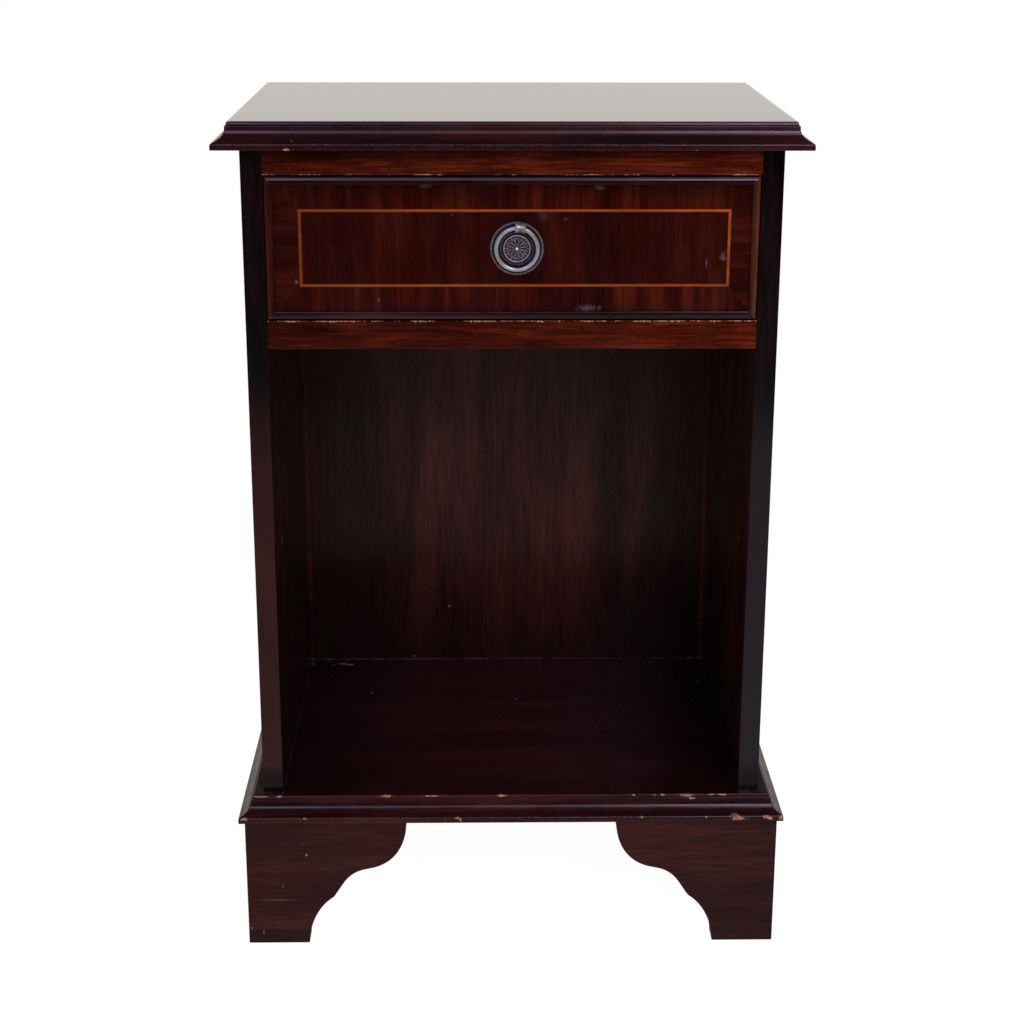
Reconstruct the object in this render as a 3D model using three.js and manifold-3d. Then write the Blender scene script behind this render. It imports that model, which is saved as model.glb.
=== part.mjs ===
// A mahogany bedside cabinet on ogee bracket feet: one inlaid drawer over an open compartment.
// Millimetres. +Z is up and the front faces -Y. The origin is on the floor, under the middle.

import * as THREE from "three";
import { mergeVertices } from "three/addons/utils/BufferGeometryUtils.js";
import Module from "manifold-3d";

const wasm = await Module();
wasm.setup();

// ---------------------------------------------------------------------------------------------
// Driving dimensions
// ---------------------------------------------------------------------------------------------

const CARCASS_WIDTH = 400;
const CARCASS_DEPTH = 290;
const CARCASS_HEIGHT = 516;
const FOOT_HEIGHT = 110;
const BOARD = 19.5; // thickness of the top and base boards
const OVERHANG = 19; // how far their mouldings stand out, at the front and both sides
const PANEL = 16; // thickness of the side panels
const BACK_PANEL = 4;
const BACK_REBATE = 6; // how far the back panel is let into each side panel
const FIT = 0.25; // slack on each side of a board in its groove or rebate

// The two frames that the drawer runs between
const UPPER_RAIL = 20;
const LOWER_RAIL = 21.5;
const DRAWER_OPENING = 109;
const FRONT_RAIL_DEPTH = 45;
const BACK_RAIL_DEPTH = 25;
const RUNNER_WIDTH = 30;
const DUST_BOARD = 4;
const FRAME_GROOVE = 6;

// The drawer
const SIDE_PLAY = 0.75; // between the drawer and each side panel
const EDGE_PLAY = 1; // above and below the drawer front
const RUNNING_GAP = 0.25; // between the drawer sides and the runners
const FIELD_RECESS = 2; // how far the veneered field lies behind the carcass front
const DRAWER_FRONT = 18;
const DRAWER_LENGTH = 270.5;
const DRAWER_LINING = 10; // thickness of the drawer's sides and back
const DRAWER_SIDE_HEIGHT = 104.25;
const DRAWER_BOTTOM = 4;
const DRAWER_GROOVE = 5;
const BOTTOM_RISE = 7.25; // of the drawer bottom's groove above the sides' lower edges

// The drawer's decoration
const BEAD_WIDTH = 6;
const BEAD_SEAT = 6.5; // how deep the bead is let into the drawer front
const BEAD_PROUD = 2.5;
const VENEER = 0.75;
const INLAY_HALF_WIDTH = 160.4;
const INLAY_HALF_HEIGHT = 29;
const INLAY_SHIFT = 1.75; // the inlay lies a little to the right
const STRINGING = 2;

// The ring pull
const PULL_SHIFT = 3.25; // of its bolt, right of the drawer's centre
const PULL_TILT = THREE.MathUtils.degToRad(9.5); // it has turned on its bolt
const PLATE_RADIUS = 20;
const RING_RADIUS = 15.5;
const RING_TUBE = 1.75;
const RING_STANDOFF = 3.25; // of the ring's centre line, in front of the field
const BOLT_RADIUS = 2;
const BOLT_HOLE = 2.25;
const BOLT_END = 25;

// The bracket feet
const FOOT_OVERHANG = 14.5;
const BRACKET = 18; // thickness
const BRACKET_REACH = 130;
const BRACKET_TOE = 49.5; // width at the floor
const CORNER_BLOCK = 28;
const CORNER_BLOCK_LIFT = 6;

// ---------------------------------------------------------------------------------------------
// Derived places
// ---------------------------------------------------------------------------------------------

const OUTER = CARCASS_WIDTH / 2;
const INNER = OUTER - PANEL;
const BACK = (CARCASS_DEPTH + OVERHANG) / 2;
const FRONT = BACK - CARCASS_DEPTH;
const BACK_INNER = BACK - BACK_PANEL;
const BASE_TOP = FOOT_HEIGHT + BOARD;
const CARCASS_TOP = BASE_TOP + CARCASS_HEIGHT;
const OPENING_TOP = CARCASS_TOP - UPPER_RAIL;
const OPENING_BOTTOM = OPENING_TOP - DRAWER_OPENING;
const FRAME_BOTTOM = OPENING_BOTTOM - LOWER_RAIL;
const FRAME_FRONT = FRONT + FRONT_RAIL_DEPTH;
const FRAME_BACK = BACK_INNER - BACK_RAIL_DEPTH;

const CURVE_STEPS = 10;
const X = new THREE.Vector3(1, 0, 0);
const Y = new THREE.Vector3(0, 1, 0);
const Z = new THREE.Vector3(0, 0, 1);
const minus = (axis) => axis.clone().negate();

// ---------------------------------------------------------------------------------------------
// Finishes
// ---------------------------------------------------------------------------------------------

function finish(color, roughness, metalness = 0) {
  return new THREE.MeshStandardMaterial({ color, roughness, metalness });
}

const mahogany = finish(0x2b100d, 0.3);
const railMahogany = finish(0x4a170a, 0.32);
const crotchVeneer = finish(0x30100b, 0.28);
const crossbandVeneer = finish(0x3a120b, 0.28);
const beadMahogany = finish(0x2a1212, 0.25);
const boxwood = finish(0xa04a12, 0.35);
const drawerLining = finish(0xb08a5c, 0.6);
const plywood = finish(0x8c6440, 0.7);
const backPlywood = finish(0x33160f, 0.45);
const softwood = finish(0x9c7448, 0.75);
const antiqueBrass = finish(0x8a8484, 0.35, 1);
const steel = finish(0x9a9a9a, 0.4, 1);

// ---------------------------------------------------------------------------------------------
// Geometry helpers
// ---------------------------------------------------------------------------------------------

function place(parent, name, geometry, material, position = [0, 0, 0]) {
  const mesh = new THREE.Mesh(geometry, material);
  mesh.name = name;
  mesh.position.set(...position);
  parent.add(mesh);
}

// A block that fills the spans [from, to] along x, y and z.
function block(...spans) {
  const sizes = spans.map(([from, to]) => to - from);
  const middle = spans.map(([from, to]) => (from + to) / 2);
  return new THREE.BoxGeometry(...sizes).translate(...middle);
}

function board(parent, name, material, ...spans) {
  place(parent, name, block(...spans), material);
}

function outline(...points) {
  return new THREE.Shape(points.map(([x, y]) => new THREE.Vector2(x, y)));
}

// A prism on an outline. The outline's x and y turn to the directions right and up, and the prism
// runs towards right x up.
function prism(shape, depth, right, up) {
  const geometry = new THREE.ExtrudeGeometry(shape, {
    depth,
    bevelEnabled: false,
    curveSegments: CURVE_STEPS,
  });
  const turn = new THREE.Matrix4().makeBasis(right, up, right.clone().cross(up));
  return geometry.applyMatrix4(turn);
}

// A straight bar of one section, whose x points out and whose y points up. An end with mitre 1
// grows a millimetre longer for each millimetre outwards, and one with mitre 0 is square.
function bar(section, length, out, up, [startMitre, endMitre]) {
  const geometry = prism(section, length, X, Y);
  const points = geometry.attributes.position;
  for (let i = 0; i < points.count; i += 1) {
    const outwards = points.getX(i);
    const atStart = points.getZ(i) < length / 2;
    points.setZ(i, atStart ? -startMitre * outwards : length + endMitre * outwards);
  }
  return geometry.applyMatrix4(new THREE.Matrix4().makeBasis(out, up, out.clone().cross(up)));
}

// A turned shape on the y axis. Each profile point is a radius and a height towards the front.
function turned(profile, segments) {
  const points = profile.map(([radius, height]) => new THREE.Vector2(radius, height));
  return new THREE.LatheGeometry(points, segments).rotateX(Math.PI);
}

// The mirror image of a geometry in the plane x = 0, with its faces still turned out.
function mirroredX(geometry) {
  const mirrored = geometry.clone().scale(-1, 1, 1);
  const points = mirrored.attributes.position;
  for (let i = 0; i < points.count; i += 3) {
    const first = new THREE.Vector3().fromBufferAttribute(points, i);
    const second = new THREE.Vector3().fromBufferAttribute(points, i + 1);
    points.setXYZ(i, ...second);
    points.setXYZ(i + 1, ...first);
  }
  return mirrored;
}

function solid(geometry) {
  const bare = geometry.clone();
  bare.deleteAttribute("normal");
  bare.deleteAttribute("uv");
  const merged = mergeVertices(bare);
  const mesh = new wasm.Mesh({
    numProp: 3,
    vertProperties: merged.attributes.position.array,
    triVerts: new Uint32Array(merged.index.array),
  });
  return new wasm.Manifold(mesh);
}

function geometryOf(body) {
  const { vertProperties, triVerts } = body.getMesh();
  const geometry = new THREE.BufferGeometry();
  geometry.setAttribute("position", new THREE.BufferAttribute(vertProperties, 3));
  geometry.setIndex(new THREE.BufferAttribute(triVerts, 1));
  geometry.computeVertexNormals();
  return geometry;
}

function cut(geometry, ...tools) {
  return geometryOf(tools.reduce((left, tool) => left.subtract(solid(tool)), solid(geometry)));
}

function fuse(first, ...others) {
  return geometryOf(others.reduce((whole, other) => whole.add(solid(other)), solid(first)));
}

// Calls make(side, half) for the left and the right. What it adds to half is drawn for the right,
// and the left half is its mirror image.
function onBothSides(parent, make) {
  for (const [side, mirror] of [["left", -1], ["right", 1]]) {
    const half = new THREE.Group();
    half.scale.x = mirror;
    parent.add(half);
    make(side, half);
  }
}

// ---------------------------------------------------------------------------------------------
// Top and base boards with their mitred mouldings
// ---------------------------------------------------------------------------------------------

// The moulding on both boards, from the carcass line outwards: a rounded arris, a fine quirk, a
// shallow bead, a deep cove and a square fillet. y runs down from the board's upper face.
function mouldingSection() {
  const section = new THREE.Shape();
  section.moveTo(0, 0);
  section.lineTo(7.5, 0);
  section.quadraticCurveTo(9.1, -0.5, 9.3, -2.9);
  section.lineTo(9.8, -3.3);
  section.lineTo(9.8, -4.5);
  section.quadraticCurveTo(11, -6.2, 10.9, -9);
  section.bezierCurveTo(11.2, -11.6, 14.5, -14, 18.2, -14.6);
  section.lineTo(OVERHANG, -15.4);
  section.lineTo(OVERHANG, -BOARD + 0.5);
  section.lineTo(OVERHANG - 0.5, -BOARD);
  section.lineTo(0, -BOARD);
  return section;
}

function mouldedBoard(parent, name, top) {
  board(
    parent,
    `${name}_board`,
    mahogany,
    [-OUTER, OUTER],
    [FRONT, BACK],
    [top - BOARD, top],
  );
  const section = mouldingSection();
  const front = bar(section, CARCASS_WIDTH, minus(Y), Z, [1, 1]);
  const right = bar(section, CARCASS_DEPTH, X, Z, [0, 1]);
  place(parent, `${name}_moulding_front`, front, mahogany, [OUTER, FRONT, top]);
  onBothSides(parent, (side, half) => {
    place(half, `${name}_moulding_${side}`, right, mahogany, [OUTER, BACK, top]);
  });
}

// ---------------------------------------------------------------------------------------------
// Carcass
// ---------------------------------------------------------------------------------------------

// A side panel, rebated for the back, with two blind holes for shelf pins.
function sidePanel() {
  const holeRadius = 2.5;
  const holeDepth = 8;
  const holeRise = 196.5;
  const holeSetBacks = [54, 236];
  const plan = outline(
    [INNER, FRONT],
    [OUTER, FRONT],
    [OUTER, BACK],
    [INNER + BACK_REBATE, BACK],
    [INNER + BACK_REBATE, BACK_INNER],
    [INNER, BACK_INNER],
  );
  const holes = holeSetBacks.map((setBack) =>
    new THREE.CylinderGeometry(holeRadius, holeRadius, 2 * holeDepth, 20)
      .rotateZ(Math.PI / 2)
      .translate(INNER, FRONT + setBack, holeRise),
  );
  return cut(prism(plan, CARCASS_HEIGHT, X, Y), ...holes);
}

// A member of the frame under the drawer, grooved along its inner edge for the dust board.
function groovedSection(width) {
  const grooveTop = (LOWER_RAIL + DUST_BOARD) / 2 + FIT;
  const grooveBottom = (LOWER_RAIL - DUST_BOARD) / 2 - FIT;
  return outline(
    [0, 0],
    [0, LOWER_RAIL],
    [-width, LOWER_RAIL],
    [-width, grooveTop],
    [FRAME_GROOVE - width, grooveTop],
    [FRAME_GROOVE - width, grooveBottom],
    [-width, grooveBottom],
    [-width, 0],
  );
}

function drawerFrames(parent) {
  const square = [0, 0];
  const runnerLength = FRAME_BACK - FRAME_FRONT;
  const lowerFront = bar(groovedSection(FRONT_RAIL_DEPTH), 2 * INNER, minus(Y), Z, square);
  const lowerBack = bar(groovedSection(BACK_RAIL_DEPTH), 2 * INNER, Y, Z, square);
  const runner = bar(groovedSection(RUNNER_WIDTH), runnerLength, X, Z, square);
  place(parent, "lower_front_rail", lowerFront, railMahogany, [INNER, FRONT, FRAME_BOTTOM]);
  place(parent, "lower_back_rail", lowerBack, softwood, [-INNER, BACK_INNER, FRAME_BOTTOM]);

  const boardReach = FRAME_GROOVE - 1;
  const boardBottom = FRAME_BOTTOM + (LOWER_RAIL - DUST_BOARD) / 2;
  const boardHalf = INNER - RUNNER_WIDTH + boardReach;
  board(
    parent,
    "dust_board",
    plywood,
    [-boardHalf, boardHalf],
    [FRAME_FRONT - boardReach, FRAME_BACK + boardReach],
    [boardBottom, boardBottom + DUST_BOARD],
  );

  const upper = [OPENING_TOP, CARCASS_TOP];
  board(parent, "upper_front_rail", railMahogany, [-INNER, INNER], [FRONT, FRAME_FRONT], upper);
  board(parent, "upper_back_rail", softwood, [-INNER, INNER], [FRAME_BACK, BACK_INNER], upper);

  const stopSpan = [80, 115];
  const stopDepth = 15;
  const stopHeight = 5;
  const stopFront = FRONT + FIELD_RECESS + DRAWER_FRONT + RUNNING_GAP;
  onBothSides(parent, (side, half) => {
    const inner = INNER - RUNNER_WIDTH;
    place(half, `drawer_runner_${side}`, runner, softwood, [INNER, FRAME_BACK, FRAME_BOTTOM]);
    board(half, `drawer_kicker_${side}`, softwood, [inner, INNER], [FRAME_FRONT, FRAME_BACK], upper);
    board(
      half,
      `drawer_stop_${side}`,
      softwood,
      stopSpan,
      [stopFront, stopFront + stopDepth],
      [OPENING_BOTTOM, OPENING_BOTTOM + stopHeight],
    );
  });
}

function carcass(parent) {
  const panel = sidePanel();
  onBothSides(parent, (side, half) => {
    place(half, `side_panel_${side}`, panel, mahogany, [0, 0, BASE_TOP]);
  });
  const backHalf = INNER + BACK_REBATE - FIT;
  board(
    parent,
    "back_panel",
    backPlywood,
    [-backHalf, backHalf],
    [BACK_INNER, BACK],
    [BASE_TOP, CARCASS_TOP],
  );
  drawerFrames(parent);
}

// ---------------------------------------------------------------------------------------------
// Bracket feet
// ---------------------------------------------------------------------------------------------

// The ogee outline. x runs in from the outer corner and y up from the floor.
function ogeeOutline() {
  const cusp = [70, 41.5];
  const waist = [99, 67];
  const shape = new THREE.Shape();
  shape.moveTo(0, 0);
  shape.lineTo(BRACKET_TOE, 0);
  shape.bezierCurveTo(BRACKET_TOE + 0.5, 18, 58, 34, ...cusp);
  shape.bezierCurveTo(79, 54, 81, 64, ...waist);
  shape.bezierCurveTo(118, 70, 129, 85, BRACKET_REACH, FOOT_HEIGHT - 3);
  shape.lineTo(BRACKET_REACH, FOOT_HEIGHT);
  shape.lineTo(0, FOOT_HEIGHT);
  return shape;
}

// A bracket that runs along one direction from its outer corner, with its outer face turned
// outwards. At a mitred corner its end slopes back at 45 degrees.
function bracket(shape, along, outwards, mitred) {
  const geometry = prism(shape, BRACKET, X, Y);
  const across = along.clone().cross(Z);
  const growsOutwards = across.dot(outwards) > 0;
  const points = geometry.attributes.position;
  for (let i = 0; i < points.count; i += 1) {
    const depth = growsOutwards ? points.getZ(i) - BRACKET : points.getZ(i);
    points.setZ(i, depth);
    if (mitred && points.getX(i) === 0) points.setX(i, Math.abs(depth));
  }
  return geometry.applyMatrix4(new THREE.Matrix4().makeBasis(along, Z, across));
}

function feet(parent) {
  const side = OUTER + FOOT_OVERHANG;
  const front = FRONT - FOOT_OVERHANG;
  const sideInner = side - BRACKET;
  const frontInner = front + BRACKET;
  const backInner = BACK - BRACKET;
  const ogee = ogeeOutline();
  const plainToe = 40;
  const plainReach = 80;
  const plain = outline([0, 0], [plainToe, 0], [plainReach, FOOT_HEIGHT], [0, FOOT_HEIGHT]);
  const brackets = [
    ["front", "front", bracket(ogee, minus(X), minus(Y), true), [side, front, 0]],
    ["front", "side", bracket(ogee, Y, X, true), [side, front, 0]],
    ["rear", "side", bracket(ogee, minus(Y), X, false), [side, BACK, 0]],
    ["rear", "back", bracket(plain, minus(X), Y, false), [sideInner, BACK, 0]],
  ];
  const blocks = [
    ["front", frontInner],
    ["rear", backInner - CORNER_BLOCK],
  ];
  onBothSides(parent, (hand, half) => {
    for (const [end, face, geometry, corner] of brackets) {
      place(half, `foot_${end}_${hand}_${face}_bracket`, geometry, mahogany, corner);
    }
    for (const [end, from] of blocks) {
      board(
        half,
        `foot_${end}_${hand}_block`,
        softwood,
        [sideInner - CORNER_BLOCK, sideInner],
        [from, from + CORNER_BLOCK],
        [CORNER_BLOCK_LIFT, FOOT_HEIGHT],
      );
    }
  });
}

// ---------------------------------------------------------------------------------------------
// Drawer. Its group's origin is at the centre of the veneered field, and the field is at y = 0.
// ---------------------------------------------------------------------------------------------

const FRONT_HALF_WIDTH = INNER - SIDE_PLAY;
const FRONT_HALF_HEIGHT = DRAWER_OPENING / 2 - EDGE_PLAY;
const FIELD_HALF_WIDTH = FRONT_HALF_WIDTH - BEAD_WIDTH;
const FIELD_HALF_HEIGHT = FRONT_HALF_HEIGHT - BEAD_WIDTH;
const SIDE_INNER = FRONT_HALF_WIDTH - DRAWER_LINING;
const SIDE_BOTTOM = RUNNING_GAP - DRAWER_OPENING / 2;
const GROOVE_BOTTOM = SIDE_BOTTOM + BOTTOM_RISE;
const GROOVE_TOP = GROOVE_BOTTOM + DRAWER_BOTTOM + 2 * FIT;

// The outline of a drawer side, y back from the field and z up, with its dovetails at the front.
// slack widens the tails, for the sockets that they fit.
function drawerSideOutline(slack) {
  const tails = 4;
  const tailLength = 9.5;
  const rootHalf = 6.5 + slack;
  const tipHalf = 9 + slack;
  const tip = DRAWER_FRONT - tailLength - slack;
  const pitch = DRAWER_SIDE_HEIGHT / tails;
  const points = [[DRAWER_FRONT, SIDE_BOTTOM]];
  for (let i = 0; i < tails; i += 1) {
    const middle = SIDE_BOTTOM + (i + 0.5) * pitch;
    points.push([DRAWER_FRONT, middle - rootHalf]);
    points.push([tip, middle - tipHalf]);
    points.push([tip, middle + tipHalf]);
    points.push([DRAWER_FRONT, middle + rootHalf]);
  }
  const top = SIDE_BOTTOM + DRAWER_SIDE_HEIGHT;
  points.push([DRAWER_FRONT, top], [DRAWER_LENGTH, top], [DRAWER_LENGTH, SIDE_BOTTOM]);
  return outline(...points);
}

function boltHole() {
  const longEnough = 4 * DRAWER_FRONT;
  return new THREE.CylinderGeometry(BOLT_HOLE, BOLT_HOLE, longEnough, 24).translate(PULL_SHIFT, 0, 0);
}

function drawerFront() {
  const body = fuse(
    block(
      [-FRONT_HALF_WIDTH, FRONT_HALF_WIDTH],
      [BEAD_SEAT, DRAWER_FRONT],
      [-FRONT_HALF_HEIGHT, FRONT_HALF_HEIGHT],
    ),
    block(
      [-FIELD_HALF_WIDTH, FIELD_HALF_WIDTH],
      [VENEER, BEAD_SEAT + 1],
      [-FIELD_HALF_HEIGHT, FIELD_HALF_HEIGHT],
    ),
  );
  const slack = 0.15;
  const rightSockets = prism(drawerSideOutline(slack), 2 * DRAWER_LINING, Y, Z);
  rightSockets.translate(SIDE_INNER - slack, 0, 0);
  const groove = block(
    [-SIDE_INNER, SIDE_INNER],
    [DRAWER_FRONT - DRAWER_GROOVE, 2 * DRAWER_FRONT],
    [GROOVE_BOTTOM, GROOVE_TOP],
  );
  return cut(body, rightSockets, mirroredX(rightSockets), groove, boltHole());
}

// The four flat strips between an inner and an outer rectangle, mitred from corner to corner.
function flatFrame(parent, name, material, inner, outer) {
  const [a, b, c, d] = inner;
  const [e, f, g, h] = outer;
  const strips = [
    ["top", [a, b, f, e]],
    ["right", [b, c, g, f]],
    ["bottom", [c, d, h, g]],
    ["left", [d, a, e, h]],
  ];
  for (const [edge, corners] of strips) {
    const strip = prism(outline(...corners), VENEER, X, Z);
    place(parent, `${name}_${edge}`, strip, material, [0, VENEER, 0]);
  }
}

// The corners of a rectangle round (middle, 0), clockwise from the top left.
function rectangle(middle, halfWidth, halfHeight) {
  return [
    [middle - halfWidth, halfHeight],
    [middle + halfWidth, halfHeight],
    [middle + halfWidth, -halfHeight],
    [middle - halfWidth, -halfHeight],
  ];
}

function drawerFace(drawer) {
  const centreHalfWidth = INLAY_HALF_WIDTH - STRINGING;
  const centreHalfHeight = INLAY_HALF_HEIGHT - STRINGING;
  const centre = rectangle(INLAY_SHIFT, centreHalfWidth, centreHalfHeight);
  const inlay = rectangle(INLAY_SHIFT, INLAY_HALF_WIDTH, INLAY_HALF_HEIGHT);
  const field = rectangle(0, FIELD_HALF_WIDTH, FIELD_HALF_HEIGHT);
  const veneer = block(
    [INLAY_SHIFT - centreHalfWidth, INLAY_SHIFT + centreHalfWidth],
    [0, VENEER],
    [-centreHalfHeight, centreHalfHeight],
  );
  place(drawer, "centre_veneer", cut(veneer, boltHole()), crotchVeneer);
  flatFrame(drawer, "stringing", boxwood, centre, inlay);
  flatFrame(drawer, "crossband", crossbandVeneer, inlay, field);
}

// The half-round bead round the drawer front. Its section's x runs out from the field's edge and
// its y forwards from the seat.
function cockBead(drawer) {
  const section = new THREE.Shape();
  section.moveTo(0, 0);
  section.lineTo(BEAD_WIDTH, 0);
  section.lineTo(BEAD_WIDTH, BEAD_SEAT);
  section.absellipse(BEAD_WIDTH / 2, BEAD_SEAT, BEAD_WIDTH / 2, BEAD_PROUD, 0, Math.PI, false);
  const [w, h] = [FIELD_HALF_WIDTH, FIELD_HALF_HEIGHT];
  const edges = [
    ["top", Z, 2 * w, [-w, BEAD_SEAT, h]],
    ["right", X, 2 * h, [w, BEAD_SEAT, h]],
    ["bottom", minus(Z), 2 * w, [w, BEAD_SEAT, -h]],
    ["left", minus(X), 2 * h, [-w, BEAD_SEAT, -h]],
  ];
  for (const [edge, out, length, start] of edges) {
    const bead = bar(section, length, out, minus(Y), [1, 1]);
    place(drawer, `cock_bead_${edge}`, bead, beadMahogany, start);
  }
}

function drawerBox(drawer) {
  const side = cut(
    prism(drawerSideOutline(0), DRAWER_LINING, Y, Z).translate(SIDE_INNER, 0, 0),
    block(
      [SIDE_INNER - 1, SIDE_INNER + DRAWER_GROOVE],
      [0, DRAWER_LENGTH + 1],
      [GROOVE_BOTTOM, GROOVE_TOP],
    ),
  );
  onBothSides(drawer, (hand, half) => {
    place(half, `drawer_side_${hand}`, side, drawerLining);
  });
  const bottomHalf = SIDE_INNER + DRAWER_GROOVE - 2 * FIT;
  const bottomZ = GROOVE_BOTTOM + FIT;
  const bottomTop = bottomZ + DRAWER_BOTTOM;
  board(
    drawer,
    "drawer_bottom",
    plywood,
    [-bottomHalf, bottomHalf],
    [DRAWER_FRONT - DRAWER_GROOVE + 2 * FIT, DRAWER_LENGTH],
    [bottomZ, bottomTop],
  );
  const backDrop = 10; // of the back's top edge below the sides'
  const backTop = SIDE_BOTTOM + DRAWER_SIDE_HEIGHT - backDrop;
  board(
    drawer,
    "drawer_back",
    drawerLining,
    [-SIDE_INNER, SIDE_INNER],
    [DRAWER_LENGTH - DRAWER_LINING, DRAWER_LENGTH],
    [bottomTop, backTop],
  );
}

// ---------------------------------------------------------------------------------------------
// Ring pull. Its group's origin is where the bolt enters the field.
// ---------------------------------------------------------------------------------------------

// The stamped plate: a raised rim, a channel behind the ring, a fine ridge and a raised rosette.
function backplate() {
  const floor = 0.8;
  const ridge = 12.3;
  const rosette = 10.4;
  return turned(
    [
      [BOLT_HOLE, 0],
      [PLATE_RADIUS - 0.5, 0],
      [PLATE_RADIUS, 0.5],
      [PLATE_RADIUS - 0.2, 1.5],
      [PLATE_RADIUS - 0.9, 1.9],
      [PLATE_RADIUS - 1.6, 1.5],
      [PLATE_RADIUS - 1.9, floor],
      [ridge + 0.8, floor],
      [ridge, 1.7],
      [ridge - 0.8, 1],
      [rosette + 0.2, 1],
      [rosette, 1.9],
      [rosette - 0.6, 2.3],
      [rosette - 1.3, 1.9],
      [BOLT_HOLE, 1.9],
      [BOLT_HOLE, 0],
    ],
    48,
  );
}

// The staple that the ring hangs in, standing on the plate.
function clip() {
  const width = 8.6;
  const channel = 2.6;
  const wall = 1.5;
  const foot = 2;
  const shape = new THREE.Shape();
  shape.moveTo(channel, foot);
  shape.lineTo(channel + wall, foot);
  shape.lineTo(channel + wall, RING_STANDOFF);
  shape.absellipse(0, RING_STANDOFF, channel + wall, channel + 1, 0, Math.PI, false);
  shape.lineTo(-channel - wall, foot);
  shape.lineTo(-channel, foot);
  shape.lineTo(-channel, RING_STANDOFF);
  shape.absarc(0, RING_STANDOFF, channel, Math.PI, 0, true);
  return prism(shape, width, Z, minus(Y)).translate(-width / 2, 0, 0);
}

function bolt() {
  const headBase = 2;
  const dome = new THREE.Vector2(2.5, 1.2);
  const steps = [0, 1, 2, 3, 4].map((i) => (i * Math.PI) / 8);
  const head = steps.map((a) => [dome.x * Math.cos(a), headBase + dome.y * Math.sin(a)]);
  head[steps.length - 1][0] = 0;
  return turned([[0, -BOLT_END], [BOLT_RADIUS, -BOLT_END], [BOLT_RADIUS, headBase], ...head], 24);
}

// A washer or nut: an outline with the bolt's hole through it, lying against the drawer front.
function collar(shape, thickness) {
  const hole = new THREE.Path();
  hole.absarc(0, 0, BOLT_HOLE, 0, 2 * Math.PI, false);
  shape.holes.push(hole);
  return prism(shape, thickness, Z, X);
}

function ringPull(drawer) {
  const pull = new THREE.Group();
  pull.position.x = PULL_SHIFT;
  pull.rotation.y = PULL_TILT;
  drawer.add(pull);

  const washerRadius = 5.5;
  const washerThickness = 1;
  const nutThickness = 3;
  const nutRadius = 4;
  const round = new THREE.Shape().absarc(0, 0, washerRadius, 0, 2 * Math.PI, false);
  const corners = [0, 1, 2, 3, 4, 5].map((i) => (i * Math.PI) / 3);
  const hexagon = outline(...corners.map((a) => [nutRadius * Math.cos(a), nutRadius * Math.sin(a)]));
  const washerAt = [0, DRAWER_FRONT, 0];
  const nutAt = [0, DRAWER_FRONT + washerThickness, 0];
  place(pull, "handle_backplate", backplate(), antiqueBrass);
  place(pull, "handle_clip", clip(), antiqueBrass, [0, 0, RING_RADIUS]);
  place(pull, "handle_bolt", bolt(), antiqueBrass);
  place(pull, "handle_washer", collar(round, washerThickness), steel, washerAt);
  place(pull, "handle_nut", collar(hexagon, nutThickness), steel, nutAt);

  const ring = new THREE.TorusGeometry(RING_RADIUS, RING_TUBE, 12, 40).rotateX(Math.PI / 2);
  place(pull, "handle_ring", ring, antiqueBrass, [0, -RING_STANDOFF, 0]);
}

// ---------------------------------------------------------------------------------------------
// The whole cabinet
// ---------------------------------------------------------------------------------------------

const cabinet = new THREE.Group();
feet(cabinet);
mouldedBoard(cabinet, "base", BASE_TOP);
carcass(cabinet);
mouldedBoard(cabinet, "top", CARCASS_TOP + BOARD);

const drawer = new THREE.Group();
drawer.position.set(0, FRONT + FIELD_RECESS, OPENING_BOTTOM + DRAWER_OPENING / 2);
cabinet.add(drawer);
place(drawer, "drawer_front", drawerFront(), mahogany);
drawerFace(drawer);
cockBead(drawer);
drawerBox(drawer);
ringPull(drawer);

export default cabinet;
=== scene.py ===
"""Looks for a mahogany bedside cabinet on ogee bracket feet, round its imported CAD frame.

Everything is in metres in the CAD's row frame: +Z is up, the front faces -Y and the floor is z = 0.
Boards keep their CAD shapes and get softened arrises. Mouldings, cock bead, brackets and the ring
pull are rebuilt with finer curves, inside the space that their CAD nodes hold.
"""

import math
from dataclasses import dataclass

import bmesh
import bpy
from mathutils import Matrix, Vector, noise


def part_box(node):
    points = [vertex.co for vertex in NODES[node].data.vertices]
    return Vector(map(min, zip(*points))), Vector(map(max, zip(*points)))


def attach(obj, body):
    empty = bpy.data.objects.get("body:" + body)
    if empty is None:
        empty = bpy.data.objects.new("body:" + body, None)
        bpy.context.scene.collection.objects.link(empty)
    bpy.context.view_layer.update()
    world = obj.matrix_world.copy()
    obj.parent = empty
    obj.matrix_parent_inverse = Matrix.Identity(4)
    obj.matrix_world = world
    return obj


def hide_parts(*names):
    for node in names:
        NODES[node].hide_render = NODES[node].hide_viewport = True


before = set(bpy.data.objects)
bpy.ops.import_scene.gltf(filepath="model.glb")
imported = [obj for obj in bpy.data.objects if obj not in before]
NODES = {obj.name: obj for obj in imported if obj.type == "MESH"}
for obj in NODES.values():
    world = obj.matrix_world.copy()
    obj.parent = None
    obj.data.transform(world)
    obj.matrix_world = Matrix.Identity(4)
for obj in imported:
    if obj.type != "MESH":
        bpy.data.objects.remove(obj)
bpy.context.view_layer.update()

MM = 0.001

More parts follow.
